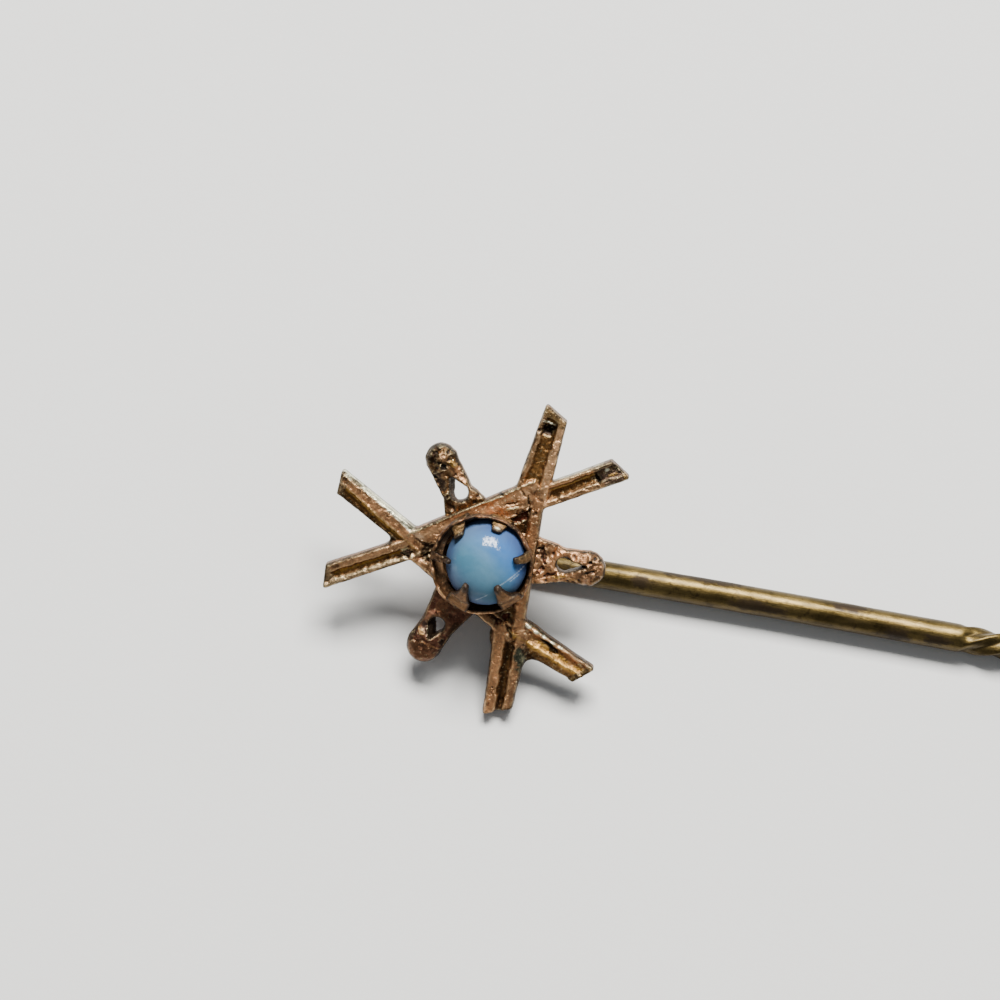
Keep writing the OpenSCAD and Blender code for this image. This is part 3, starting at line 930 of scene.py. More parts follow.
# Each lobe: its turn, the middle, radius and height of its knob, how lumpy it is, its own tone, the way
# and distance that the hole's wall leans inwards towards the back, and how much darker its knob is
LOBE_ROWS = {
    "lobe_right": (1.6, 4.2, 0.71, 0.76, 1, "rose", (-.6, -.8), .15, .58),
    "lobe_top": (124.6, 4.42, 0.65, 0.72, 0.9, "brown", (-.57, -.82), .18, .42),
    "lobe_low": (245.6, 4.76, 0.72, 0.76, 0.45, "umber", (-.41, .91), .28, .36),
}
# Each hole: its middle, its radius and its point
HOLES = {"lobe_right": (3.2, .04, .32, 4.12, .14), "lobe_top": (2.86, -.08, .38, 3.56, -.06),
         "lobe_low": (3.7, -.05, .33, 4.3, 0)}
LOBE_MARKS = {
    "lobe_right": [
        (4.28, .36, .08, .08, 0, "black", 1, -.08), (4.42, .5, .07, .06, 0, "black", 1, -.08),
        (4.62, .44, .07, .06, 0, "black", .9, -.06), (4.6, -.42, .24, .18, 80, "olive", .9, -.06),
        (4.55, .1, .3, .16, 30, "rose", .6, .03), (4.3, -.05, .3, .06, 20, "dark", .8, -.05),
        (2.3, .3, .12, .35, 20, "red", .9, -.08), (2.7, -.45, .3, .08, 30, "red", .8, -.06),
        (2.25, -.35, .1, .3, -30, "red", .8, -.06), (3.1, -.45, .4, .09, 10, "gold", .8, .05),
        (2.1, .55, .3, .1, 60, "dark", .8, -.06), (3.6, -.5, .3, .1, 0, "brass", .6, .04)],
    "lobe_top": [
        (4.72, .22, .36, .34, 30, "dark", .9, 0), (4.95, -.2, .14, .4, 0, "dark", .8, 0),
        (4.52, -.17, .26, .18, 60, "blush", .85, .06), (4.13, 0, .12, .14, 0, "black", 1, -.12),
        (4.36, .12, .07, .07, 0, "black", 1, -.06), (4.62, -.42, .07, .06, 0, "black", .9, -.05),
        (4.8, 0, .06, .06, 0, "black", .9, -.05), (3.6, .42, .5, .16, 0, "violet", .8, -.03),
        (2.6, .5, .5, .16, 0, "dark", .7, -.03), (3.5, -.45, .5, .12, 5, "rose", .8, .04),
        (2.7, -.55, .4, .14, 5, "tan", .8, .04), (4.1, -.38, .2, .12, 40, "gold", .7, .03)],
    "lobe_low": [
        (4.25, -.42, .2, .1, 60, "brass", .9, .04), (4.55, .15, .06, .4, 10, "rose", .7, .02),
        (4.05, -.3, .34, .2, 70, "violet", .8, -.03), (4.95, 0, .5, .55, 0, "copper", .5, 0),
        (3.55, .58, .45, .12, 0, "dark", .7, -.03), (4.2, .55, .12, .14, 0, "black", .9, -.06),
        (2.8, -.35, .6, .25, 10, "copper", .6, 0), (4.62, -.62, .3, .08, 0, "dark", .8, 0)],
}
print({name: len(marks) for name, marks in LOBE_MARKS.items()}, "marks on the lobes")


# %% The lobes' shape
def hole_distance(x, y, hole):
    """Signed distance to the hole: a circle that runs out to a point."""
    mid_x, mid_y, r, tip_x, tip_y = hole
    far = np.hypot(tip_x - mid_x, tip_y - mid_y)
    turn = np.degrees(np.arctan2(tip_y - mid_y, tip_x - mid_x))
    along, across = turned(x - mid_x, y - mid_y, -turn)
    drop = [(r * .35, -r * .92), (far, -.03), (far, .03), (r * .35, r * .92)]
    return np.minimum(np.hypot(along, across) - r, polygon_distance(along, across, drop))


def lobe_distance(x, y, row, hole):
    """A web that narrows towards a round knob, less a hole with a round end and a pointed one."""
    _, knob, knob_r, _, lumpy = row[:5]
    waist = knob_r * 0.98
    half_web = [(1.2, 1.2), (LOBE_ROOT, 1.08), (hole[0], waist), (knob, waist)]
    web = polygon_distance(x, y, [(a, -b) for a, b in half_web] + half_web[::-1])
    body = join(web, np.hypot(x - knob, y) - knob_r, 0.12)
    wander = (0.024 * rough(x + 9 * hole[0], y, 0.5, 3) + 0.014 * noise(x, y, 0.2, 5)) * lumpy
    return np.maximum(body, -hole_distance(x, y, hole)) + wander


def lobe_height(x, y, deep, row, hole, marks):
    """A low web with a swollen lip round the hole, and a dome over the knob, all of it lumpy."""
    _, knob, knob_r, knob_h, lumpy = row[:5]
    eye = hole[0]
    out = np.hypot(np.where(x < knob, (x - knob) / 1.6, x - knob), y) / knob_r
    dome = 0.25 + (knob_h - 0.25) * np.clip(1 - out * out, 0, 1) ** 0.38
    flat = LOBE_T + 0.10 * np.exp(-(hole_distance(x, y, hole) - 0.12) ** 2 / 0.02)
    height = np.where(out < 1, np.maximum(dome, flat), flat)
    lumps = lumpy * (0.085 * rough(x + 5 * eye, y, 0.42, 4) + 0.06 * noise(x, y + 3 * eye, 0.15, 5))
    worms = lumpy * 0.06 * np.abs(noise(x + 2 * eye, y, 0.24, 6)) * rise(0.4, 0.9, lumpy)
    _, change = marked(x, y, all_over(x.shape, 0.0), marks)
    return height + lumps - worms + change - rounded_edge(-deep, 0.09)


# %% The lobes
LOBE_BOX = (1.1, 5.7, -1.4, 1.4)
LOBE_STEP = 0.028


def lobe_piece(name):
    """One lobe: its own tone blotched with tan, dark in its creases, paler on its lumps, and darker over
    its knob, with painted shade in its hole, along its edge and down its walls. It is then turned to its
    place."""
    row, hole, marks = LOBE_ROWS[name], HOLES[name], LOBE_MARKS[name]
    turn, knob, _, _, lumpy, tone_name, way, lean, darker = row
    distance = lambda x, y: lobe_distance(x, y, row, hole)
    height = lambda x, y, deep: lobe_height(x, y, deep, row, hole, marks)
    low_side = lambda x, y, deep: flat_back(x, y, deep) + 0.02
    at_hole = lambda x, y: fade(0.05, 0.12, hole_distance(x, y, hole))
    flare = lambda x, y, gx, gy: lean * at_hole(x, y) * np.clip(gx * way[0] + gy * way[1], 0, 1)
    points, faces, depth, inset = shell(distance, height, low_side, LOBE_BOX, LOBE_STEP, flare)
    x, y = points[:, 0], points[:, 1]
    dip = hollow(distance, height, x, y)
    is_front = depth < 0.01
    low, high = rise(0.0, 0.04, dip) * is_front, rise(0.004, 0.04, -dip) * is_front
    shaded_edge = fade(0.03, 0.08, inset + 0.03 * noise(x, y, 0.3, 9)) * is_front
    hole_shade = (depth > 0.01) * fade(0.0, 0.1, hole_distance(x, y, hole))
    blotch = rise(-0.3, 0.5, rough(x, y, 0.5, 8))
    tone = tint(all_over(x.shape, TONES[tone_name]), ("tan", 0.6 * blotch * lumpy))
    tone = tint(marked(x, y, tone, marks)[0], ("dark", 0.9 * low), ("pale", 0.25 * high))
    tone = tone * (1 - darker * rise(knob - 0.6, knob - 0.2, x))[:, None]
    # Painted shade: black along the edge, brown down the walls and dark inside the hole.
    tone = tint(tone, ("black", 0.85 * shaded_edge), ("brown", 0.6 * rise(0.05, 0.5, depth)), ("dark", 0.85 * hole_shade))
    oxide = np.clip(0.7 * low + 0.2 * blotch + 0.5 * hole_shade, 0, 1)
    u, v = turned(x, y, turn)
    add_metal(name, u, v, points[:, 2], oxide, tone, faces)


for lobe_name in LOBE_ROWS:
    lobe_piece(lobe_name)

# %% [markdown]
# ## Where the stone sits
# The stone's place comes before the cup, because the cup's inside and the claws fit round it. It sits a
# little askew, as a stone pressed in by hand does.

# %% The stone's place
STONE_MIDDLE = (0.05, -0.09)
DOME_R = 1.80
DOME_N = 0.66
GIRDLE_N = 1.08
STONE_LEAN = np.radians(5.0)
DOME_SHIFT = -0.22
print("the dome's top is", round(DOME_N + DOME_R, 2), "mm above the star's back")


def leaned(v, n):
    """A turn about the girdle's middle lowers the stone's far edge. Its dome was cut a little off centre
    too, so it is pushed back the more the higher it is."""
    up = n - GIRDLE_N
    v = v + DOME_SHIFT * np.maximum(up, 0)
    c, s = np.cos(STONE_LEAN), np.sin(STONE_LEAN)
    return v * c + up * s, GIRDLE_N + up * c - v * s


# %% [markdown]
# ## Turned shapes
# The cup, the stone and the joint could all be lathed, and that is how they are made here: one profile
# carried round a circle. A noise that is read round a ring makes them uneven without a seam.

# %% Profiles carried round
def fine_line(r, n, steps, passes):
    """A line's corners as evenly spaced points, rounded by averaging each with its neighbours, and how
    far along the line each point is, from 0 to 1."""
    far = np.concatenate([[0], np.cumsum(np.hypot(np.diff(r), np.diff(n)))])
    at = np.linspace(0, far[-1], steps)
    line = np.stack([np.interp(at, far, r), np.interp(at, far, n)])
    for _ in range(passes):
        line[:, 1:-1] = (line[:, :-2] + 2 * line[:, 1:-1] + line[:, 2:]) / 4
    return line[0], line[1], at / far[-1]


def turned_shape(rows, steps, around):
    """A profile carried round a circle: each point's angle, distance from the axis and height, one row
    for each turn. The first and last rows shrink to a point on the axis, which closes the ends."""
    r, n, _ = fine_line(*np.array(rows, float).T, steps, 3)
    angle = np.linspace(0, 2 * np.pi, around, endpoint=False)
    r[0] = r[-1] = 0
    return np.meshgrid(angle, r)[0], np.repeat(r[:, None], around, 1), np.repeat(n[:, None], around, 1)


def round_noise(angle, height, size, seed):
    """Noise that meets itself after one turn: it is read round a ring in the noise's plane."""
    return noise(3 * np.cos(angle) + 20 + 0.7 * height, 3 * np.sin(angle) + 20 + 1.3 * height, size, seed)


# %% [markdown]
# ## The cup
# A short tube of thin sheet holds the stone and stands through the middle of the star. A hammer and six
# claws have left its rim uneven, so the rim rises and falls, and its inside closes in on the stone.

# %% Cup
CUP_MIDDLE = (-0.14, -0.20)
SEAT_R = 1.83
SEAT_WIDEST = 1.96
CUP_STEPS, CUP_AROUND = 110, 288
# The profile's first points are the cup's inside, where they are further out than its floor
CUP_INSIDE_STEPS = 42
CUP_FLOOR_R = 1.5
CUP_SHADE_R = 1.55
# Turns about the cup, in degrees: the side of its inside with painted light, and the side of its rim with a
# painted highlight
LIT_INSIDE_TURN, LIT_RIM_TURN = 190, 215
CUP_PROFILE = [(0, .48), (1.2, .48), (1.6, .5), (1.7, .62), (1.8, .9), (1.92, 1.12), (1.955, 1.3),
               (1.965, 1.44), (1.985, 1.49), (2.03, 1.505), (2.09, 1.49), (2.125, 1.44), (2.12, 1.3),
               (2.09, 1.1), (2.04, .85), (1.98, .55), (1.9, .15), (1.85, 0), (1.8, -.1), (1.72, -.15),
               (1.2, -.15), (0, -.15)]


def cup_piece():
    """The cup's profile, with its wall pushed in and out, its rim raised and lowered a little, and its
    inside drawn in to the stone's seat. Its inside is painted dark as shade, with painted light on the
    window's side; its far outer wall is painted dark too, and its rim has a painted highlight on the left
    and painted shade elsewhere."""
    angle, r, n = turned_shape(CUP_PROFILE, CUP_STEPS, CUP_AROUND)
    wall = rise(0.5, 1.3, n) * rise(1.5, 1.8, r)
    push = 0.05 * round_noise(angle, n, 0.9, 2) + 0.025 * round_noise(angle, n, 0.28, 3)
    lift = 0.06 * round_noise(angle, 0, 0.8, 5) + 0.035 * round_noise(angle, 0, 0.22, 6)
    r = r + push * wall * 0.7
    off_u, off_v = STONE_MIDDLE[0] - CUP_MIDDLE[0], STONE_MIDDLE[1] - CUP_MIDDLE[1]
    far = np.hypot(off_u, off_v)
    about = angle - np.arctan2(off_v, off_u)
    seat = far * np.cos(about) + np.sqrt(SEAT_R ** 2 - (far * np.sin(about)) ** 2)
    inside = np.arange(CUP_STEPS)[:, None] < CUP_INSIDE_STEPS
    closes = (inside & (r > CUP_FLOOR_R)) * fade(1.12, 1.47, n) * rise(0.64, 0.9, n)
    r = r + (np.minimum(seat, SEAT_WIDEST) - r) * closes
    n = n + lift * rise(1.1, 1.5, n)
    inner = inside & (r > CUP_SHADE_R)
    # Painted shade inside the cup, on its far outer wall and on the rim away from the window; painted light
    # on the lit side of the inside and a painted highlight on the rim's left, where there is less oxide. The
    # copper blotches are the metal's own.
    tone = np.where(inner[..., None], TONES["dark"], TONES["brown"])
    shaded_far_wall = ~inner * rise(0.0, 0.5, np.sin(angle))
    lit_inside = inner * rise(0.0, 0.7, np.cos(angle - np.radians(LIT_INSIDE_TURN)))
    patchy = 0.4 + 0.6 * rise(-0.3, 0.4, round_noise(angle, 3 * n, 0.3, 8))
    rim = rise(1.43, 1.5, n)
    lit_rim = rise(-0.2, 0.5, np.cos(angle - np.radians(LIT_RIM_TURN)))
    lit_rim = lit_rim * rise(-0.6, 0.1, round_noise(angle, 0, 0.35, 9))
    blotch = rise(-0.2, 0.5, round_noise(angle, n, 0.5, 7))
    tone = tint(tone, ("dark", 0.9 * shaded_far_wall), ("blush", 0.95 * lit_inside * patchy),
                ("dark", 0.8 * rim * (1 - lit_rim)), ("copper", 0.5 * blotch * ~inner),
                ("blush", 0.9 * rim * lit_rim))
    oxide = np.where(inner, 0.25, 0.15 + 0.3 * (1 - blotch)) * (1 - rim * lit_rim)
    u, v = CUP_MIDDLE[0] + r * np.cos(angle), CUP_MIDDLE[1] + r * np.sin(angle)
    add_metal("cup", u, v, n, oxide, tone)


cup_piece()

# %% [markdown]
# ## Six claws
# Each claw was sawn from the cup's edge, bent over the stone and pressed down. No two lean alike. A
# claw is a flat strip whose middle line climbs the wall and then follows the dome, so it is made as
# closed rings of points carried along that line, narrower and thinner towards the tip.

# %% A claw's line
CLAW_T = 0.20
CLAW_STEPS = 60
# A claw's foot: its distance from the cup's middle, and the heights of its straight stretch up the wall
FOOT_R = 2.02
FOOT_N = [0.95, 1.2, 1.42]
# It never dips below this on its way over the rim
OVER_RIM_N = 1.44


def claw_line(turn, high):
    """The middle of the strip from the cup's wall, over the rim, to the tip: distance from the stone's
    middle, n, and how far along. It is straight up the wall, then bends onto a circle just above the dome."""
    foot = FOOT_R + (np.array(CUP_MIDDLE) - np.array(STONE_MIDDLE)) @ np.array(turned(1.0, 0.0, turn))
    above_dome = DOME_R + 0.05 + CLAW_T / 2
    bend = np.radians(np.linspace(30, high, 14))
    r = np.concatenate([[foot, foot, foot - 0.03], above_dome * np.cos(bend)])
    n = np.concatenate([FOOT_N, np.maximum(DOME_N + above_dome * np.sin(bend), OVER_RIM_N)])
    return fine_line(r, n, CLAW_STEPS, 4)


# %% Claws
CLAW_RING = 28
# Each claw: turn about the stone, how far up the dome its tip reaches, half widths at root and tip, tone,
# and how far its tip is pushed sideways
CLAW_ROWS = [
    (20, 50, .24, .15, "khaki", .22), (80, 37, .52, .22, "khaki", .1), (131, 34.5, .44, .22, "khaki", .32),
    (182, 42, .18, .11, "dark", -.1), (245, 68, .52, .15, "brown", -.34), (312, 70, .52, .17, "brown", .17),
]
# Shares of a claw's length over which its tip and its root are rounded off
TIP_LEN, ROOT_LEN = 0.10, 0.05
# The two lower claws, from this number on, have a ridge along their middle
FIRST_RIDGED = 5
RIDGE_H = 0.09
# One claw's tip has a painted highlight, at this share of its length
GLINT_CLAW = 2
GLINT_AT = 0.86


def squarish(c):
    """A sine or cosine drawn towards 1 and -1, which makes a circle a square with round corners."""
    return np.sign(c) * np.abs(c) ** 0.55


def claw_piece(number, turn, high, root_half, tip_half, tone_name, swing):
    """Rings of a rounded flat section carried along the claw's line. Both ends are blunt and closed, and
    from its bend on the claw leans with the stone."""
    r, n, share = claw_line(turn, high)
    way_r, way_n = np.gradient(r), np.gradient(n)
    size = np.hypot(way_r, way_n)
    up_r, up_n = way_n / size, -way_r / size
    blunt = quarter_round((share - (1 - TIP_LEN)) / TIP_LEN) * quarter_round((ROOT_LEN - share) / ROOT_LEN)
    half = root_half + (tip_half - root_half) * rise(0.25, 0.95, share)
    half = (half * (0.25 + 0.75 * blunt) * np.where(blunt > 0, 1, 0))[:, None]
    s, a = np.meshgrid(share, np.linspace(0, 2 * np.pi, CLAW_RING, endpoint=False), indexing="ij")
    side = half * squarish(np.cos(a))
    over = (CLAW_T / 2 * np.sqrt(blunt))[:, None] * squarish(np.sin(a))
    lumps = 0.02 * noise(4 * s + 3 * number, side * 3 + 7, 0.5, 4)
    lumps = lumps + 0.012 * noise(9 * s + number, side * 8, 0.6, 8)
    over = over + lumps * rise(0.3, 0.9, np.sin(a)) * blunt[:, None]
    ridge = RIDGE_H * (1 - np.abs(side) / (half + 1e-6)) * (np.sin(a) > 0) * (number >= FIRST_RIDGED)
    over = over + ridge * rise(0.2, 0.6, s) * blunt[:, None]
    far, n = r[:, None] + up_r[:, None] * over, n[:, None] + up_n[:, None] * over
    out, across = np.array(turned(1.0, 0.0, turn)), np.array(turned(0.0, 1.0, turn))
    push = side + swing * s ** 2
    u = STONE_MIDDLE[0] + far * out[0] + push * across[0]
    v = far * out[1] + push * across[1]
    lean_v, lean_n = leaned(v, n)
    on_stone = rise(0.3, 0.6, s)
    v, n = STONE_MIDDLE[1] + v + (lean_v - v) * on_stone, n + (lean_n - n) * on_stone
    crown = rise(0.3, 0.9, np.sin(a)) * rise(-0.3, 0.4, noise(6 * s + number, side * 5, 0.5, 3))
    tip = rise(0.80, 0.95, s)
    # The claw's sides are painted black as shade, and it darkens towards its tip.
    tone = tint(all_over(s.shape, TONES[tone_name]), ("tan", 0.22 * crown),
                ("black", 0.85 * rise(0.55, 0.85, np.abs(np.cos(a)))), ("black", 0.7 * tip))
    oxide = 0.15 + 0.5 * tip
    # A painted highlight on one claw's tip, with less oxide there.
    if number == GLINT_CLAW:
        glint_spot = fade(0.03, 0.055, np.abs(s - GLINT_AT)) * fade(0.06, 0.12, np.abs(side))
        tone = tint(tone, ("painted_glint", glint_spot * (np.sin(a) > 0)))
        oxide = oxide * (1 - glint_spot)
    add_metal(f"claw_{number}", u, v, n, oxide, tone)


for claw_number, claw_row in enumerate(CLAW_ROWS, 1):
    claw_piece(claw_number, *claw_row)

# %% [markdown]
# ## The stone
# A domed cabochon of milky blue glass, polished, with a few fine scratches. It is turned from a profile
# too. Its colour is deepest at the right, and greener and paler at the centre left, which is light scattered
# inside the glass; it is darker at the top and at the rim, which is shade. Both are painted as slow changes
# over the dome. The polish is a clear coat, which is worn thin in patches and near the rim, so that the
# window's glint is broken.

# %% The stone's finish
def stone_finish():
    """Milky glass: colours from the mesh, veils of cloud, fine scratches, and a clear, broken polish."""
    paint = Paint("blue_opal")
    tone = paint.carried("tone", "Color")
    veil = paint.noise(1.6, 3, 0.55, 0.6)
    wisp = paint.noise(0.5, 4, 0.6, 1.2)
    base = paint.mix((veil - 0.38).clamped() * 0.6, tone, from_screen(126, 160, 180))
    base = paint.scaled(base, 0.92 + 0.16 * wisp)
    scratch = paint.carried("scratch")
    worn_rim = paint.carried("worn_rim")
    polish = 0.15 + 0.85 * paint.noise(0.15, 3, 0.6, 0.8).above(0.43, 0.55)
    base = paint.mix(scratch * 0.6, base, from_screen(220, 232, 240))
    return paint.finish(Base_Color=base, Roughness=0.4, Specular_IOR_Level=0.0,
                        Coat_Weight=((0.9 - 0.4 * scratch - 0.8 * worn_rim) * polish).clamped(),
                        Coat_Roughness=0.09, Coat_IOR=1.5,
                        Normal=paint.bump(paint.noise(0.9, 2, 0.5), 0.004, 0.4))


# %% Stone
GIRDLE_R = 1.73
STONE_OVAL = (0.975, 1.04)
STONE_STEPS, STONE_AROUND = 90, 192
STONE_BASE = [(1.715, 1.02), (1.63, .97), (1.48, .95), (1.2, .95), (0, .95)]
# From end to end in the stone's own plane
SCRATCHES = [((1.66, .32), (.62, -.52)), ((1.40, -.04), (1.10, -.28)), ((.30, -.92), (-.16, -1.34))]


def stone_piece():
    """The dome's arc, a rounded girdle and a flat base, carried round, made slightly oval and leaned."""
    girdle = np.degrees(np.arccos(GIRDLE_R / DOME_R))
    arc = np.radians(np.linspace(90, girdle, 40))
    dome = list(zip(DOME_R * np.cos(arc), DOME_N + DOME_R * np.sin(arc)))
    angle, r, n = turned_shape(dome + STONE_BASE, STONE_STEPS, STONE_AROUND)
    x, y = r * np.cos(angle) * STONE_OVAL[0], r * np.sin(angle) * STONE_OVAL[1]
    lean_v, n = leaned(y, n)
    u, v = STONE_MIDDLE[0] + x, STONE_MIDDLE[1] + lean_v
    # Painted light and shade: deeper at the right and paler at the lower left for light scattered in the
    # glass, and darker at the top and the rim as painted shade.
    right = rise(0.1, 1.6, x * 0.8 + y * 0.45)
    left_low = rise(0.3, 1.6, -x * 0.5 - y * 0.75)
    top = rise(0.2, 1.5, y + 0.3 * x)
    shaded_edge = rise(1.15, 1.66, r)
    tone = tint(all_over(r.shape, from_screen(62, 103, 125)), ((52, 104, 172), right * 0.8),
                ((116, 122, 154), left_low * 0.8), ((44, 86, 146), top * 0.75), ((60, 70, 104), shaded_edge * 0.8))
    scratch = np.zeros(r.shape)
    for start, end in SCRATCHES:
        away, along = line_distance(x, y, start, end)
        scratch = np.maximum(scratch, fade(0.010, 0.028, away) * (0.35 + 0.4 * np.sin(9 * along) ** 2))
    worn_rim = np.maximum(rise(1.15, 1.5, r), rise(0.75, 1.1, r) * rise(-0.1, 0.4, -y))
    add_piece("cabochon", head_to_world(u, v, n), grid_quads(*n.shape)[:, ::-1], stone_finish(), "stone",
              {"scratch": scratch, "worn_rim": worn_rim}, tone)


stone_piece()

# %% [markdown]
# ## The stem
# Brass wire, drawn round, hammered square for a stretch and twisted there so that cloth holds it, then
# round again to its point. Rings of points run along it; each ring's outline is a blend of a circle
# and a square with round corners, and the square turns as it goes along. Old brass darkens unevenly:
# there are stains along the wire. The side turned away from the window is painted brown as shade.

# %% The stem's finish
def brass_finish():
    """Drawn brass: fine lines along the wire, brown stains with painted shade on one flank, dark spots, and a
    little brightness.
    """
    paint = Paint("old_brass_wire")
    stain_and_shade = paint.carried("stain_and_shade")
    stretched = paint.add("ShaderNodeMapping", {}, {"Vector": paint.place, "Scale": (0.12, 1.0, 1.0)}, 0)
    lines = paint.noise(0.16, 4, 0.65, place=stretched)
    cloud = paint.noise(1.4, 4, 0.6)
    grain = paint.noise(0.14, 4, 0.7)
    base = paint.mix(cloud.above(0.35, 0.68), from_screen(76, 63, 33), from_screen(108, 91, 53))
    base = paint.scaled(base, 0.58 + 0.42 * lines.above(0.36, 0.64) + 0.34 * grain.above(0.34, 0.66))
    # Darker with the stains and with the painted shade on the flank away from the window.
    base = paint.mix(stain_and_shade * 0.85, base, from_screen(38, 26, 16))
    base = paint.mix(grain.above(0.56, 0.68) * 0.55, base, from_screen(36, 26, 13))
    spots = paint.noise(0.32, 3, 0.6, 0.5).above(0.58, 0.66)
    base = paint.mix(spots * 0.55, base, from_screen(40, 30, 16))
    roughness = (0.30 + 0.10 * lines + 0.2 * stain_and_shade + 0.10 * grain).clamped()
    return paint.finish(Base_Color=base, Roughness=roughness, Metallic=(1.0 - 0.2 * stain_and_shade).clamped(),
                        Coat_Weight=0.10, Coat_Roughness=0.22,
                        Normal=paint.bump(lines + 0.7 * grain, 0.02, 0.7))


# %% The stem's shape
STEM_REACH = 53.0
TWIST_AT, TWIST_END, TWIST_PITCH = 20.0, 31.0, 5.9
TWIST_HALF = 0.456
POINT_LEN = 9.0
POINT_AT = STEM_REACH - POINT_LEN
POINT_R = 0.07
STEM_RING = 64


def stem_stations():
    """Where the rings stand along the stem, closest at its round start, on the twist and at its point."""
    return np.concatenate([
        -STEM_R * np.cos(np.linspace(0, np.pi / 2, 14)), np.arange(0.08, TWIST_AT - 1, 0.11),
        np.arange(TWIST_AT - 1, TWIST_END + 1, 0.075), np.arange(TWIST_END + 1, POINT_AT, 0.16),
        POINT_AT + POINT_LEN * np.linspace(0, 1, 60) ** 0.9,
        STEM_REACH + POINT_R * np.sin(np.linspace(0.1, np.pi / 2, 6))])


def stem_radius(at):
    """The wire's radius: a quarter round at the start, a cone to the point, and a tiny round tip."""
    radius = np.where(at < 0, np.sqrt(np.clip(STEM_R ** 2 - at ** 2, 0, None)), STEM_R)
    cone = np.clip((at - STEM_REACH + POINT_LEN) / POINT_LEN, 0, 1)
    radius = radius + (POINT_R - STEM_R) * (0.85 * cone + 0.15 * cone ** 2)
    return np.where(at > STEM_REACH, np.sqrt(np.clip(POINT_R ** 2 - (at - STEM_REACH) ** 2, 0, None)), radius)


def round_square(turn):
    """Radius of a square with round corners and a shallow groove down the middle of each face, and how
    near the middle of a face each point is."""
    c, s = np.abs(np.cos(turn)), np.abs(np.sin(turn))
    groove = 0.045 * np.exp(-(np.minimum(c, s) / 0.16) ** 2)
    return TWIST_HALF / (c ** 7 + s ** 7) ** (1 / 7) - groove, np.clip(1 - np.minimum(c, s) / 0.35, 0, 1)


# %% Stem
# Each stain: its place along the stem, where it is round the wire, its half length and its half width
STEM_MARKS = [(18.95, .62, .66, .17), (11.5, .5, 1.2, .22), (15.2, -.7, .8, .2), (6.4, .2, .5, .18),
              (9.0, -1.0, 1.6, .2), (17.2, .9, .6, .3), (3.8, .6, .8, .3)]
# The side turned away from the window, painted brown as shade, as an angle round the wire
SHADED_FLANK_AT = np.radians(168)
# A place that a hammer has flattened, along the stem and round the wire
FLAT_AT, FLAT_TURN = 18.9, 1.1


def stem_stains_and_shade(x, phi, twisted):
    """How stained the wire is, with painted shade: the marks' ragged ovals, the twist's creases, chance
    patches, and the flank away from the window.
    """
    around = np.degrees(phi) / 60
    ragged = 0.4 * noise(x, around, 0.35, 2) + 0.3 * noise(x, around, 0.13, 6)
    stain_and_shade = np.zeros(x.shape)
    for mark_x, mark_a, long, wide in STEM_MARKS:
        bend = np.abs((around - 1.5 - mark_a + 3) % 6 - 3)
        stain_and_shade = np.maximum(stain_and_shade, fade(0.7, 1.3, np.hypot((x - mark_x) / long, bend / (wide * 2)) + ragged))
    # The flank away from the window, painted brown as shade.
    shaded_flank = np.exp(-((phi - SHADED_FLANK_AT) / 0.45) ** 2) * (0.75 + 0.25 * rough(x, around, 0.6, 3))
    creases = rise(0.5, 1.0, twisted)
    patches = rise(0.25, 0.8, rough(x, around, 0.9, 7))
    return np.maximum.reduce([stain_and_shade, 0.7 * creases, 0.5 * patches, 0.75 * shaded_flank])


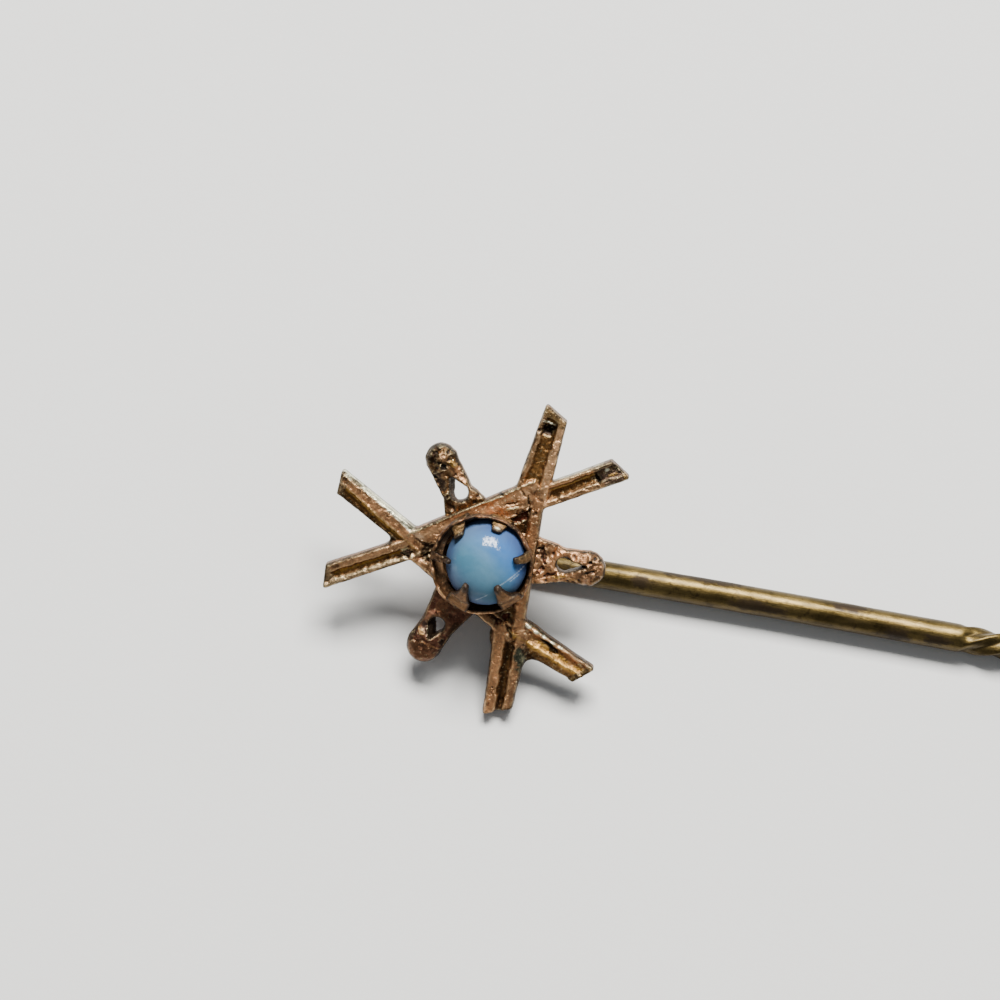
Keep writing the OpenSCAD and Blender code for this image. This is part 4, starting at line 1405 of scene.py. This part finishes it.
def stem_piece():
    """Rings along X: a round start, the plain wire, the twist, the wire again, and a cone to a point. The
    wire sways and dents by hundredths of a millimetre, and never goes below the surface."""
    at = stem_stations()
    radius = stem_radius(at)[:, None]
    x, phi = np.meshgrid(at, np.linspace(0, 2 * np.pi, STEM_RING, endpoint=False), indexing="ij")
    square = rise(TWIST_AT - 0.2, TWIST_AT + 0.4, x) * fade(TWIST_END - 0.45, TWIST_END + 0.55, x)
    box_r, crease = round_square(phi + 2 * np.pi * (x - TWIST_AT) / TWIST_PITCH)
    r = radius * (1 - square) + box_r * square * (radius / STEM_R)
    dent = 0.010 * noise(x * 0.5 + 30, np.cos(phi) * 0.4 + 8, 0.5, 3)
    dent = dent + 0.004 * noise(x + 30, np.cos(phi) + np.sin(phi) + 9, 0.2, 5)
    flat = 0.02 * np.exp(-((x - FLAT_AT) / 0.5) ** 2) * np.exp(-((phi - FLAT_TURN) / 0.5) ** 2)
    r = r * (1 + dent) - flat
    sway = 0.04 * np.sin(x / 7.0) * rise(2, 12, x) * fade(44, 52, x)
    z = np.maximum(STEM_R + r * np.sin(phi), 0.0)
    points = np.stack([HEAD_X + x, STEM_Y + r * np.cos(phi) + sway, z], -1)
    add_piece("stem", points, grid_quads(*x.shape), brass_finish(), "soldered_mount",
              {"stain_and_shade": stem_stains_and_shade(x, phi, square * crease)})


stem_piece()

# %% [markdown]
# ## The joint behind the cup
# The photograph doesn't show how the stem is held. Such pins have the wire's end bent or soldered to the
# back of the cup, so a plain post of solder joins the two here, widest where it meets the cup.

# %% Joint
JOINT_V = -0.35
JOINT_STEPS, JOINT_AROUND = 70, 96
JOINT_PROFILE = [(0, .05), (1.30, .05), (1.35, .0), (1.36, -.13), (1.22, -.28), (1.0, -.42), (.88, -.75),
                 (.85, -1.2), (.85, -1.75), (.82, -1.95), (.70, -2.05), (0, -2.05)]


def joint_piece():
    """A turned post with a waist, and slow lumps all over it."""
    angle, r, n = turned_shape(JOINT_PROFILE, JOINT_STEPS, JOINT_AROUND)
    r = r * (1 + 0.06 * round_noise(angle, n, 0.9, 1) + 0.03 * round_noise(angle, n, 0.3, 4))
    u, v = r * np.cos(angle), JOINT_V + r * np.sin(angle)
    blotch = rise(-0.2, 0.5, round_noise(angle, n, 0.5, 7))
    tone = tint(all_over(r.shape, TONES["grey"]), ("brown", 0.7 * blotch))
    add_metal("solder_joint", u, v, n, 0.15 + 0.4 * blotch, tone)


joint_piece()
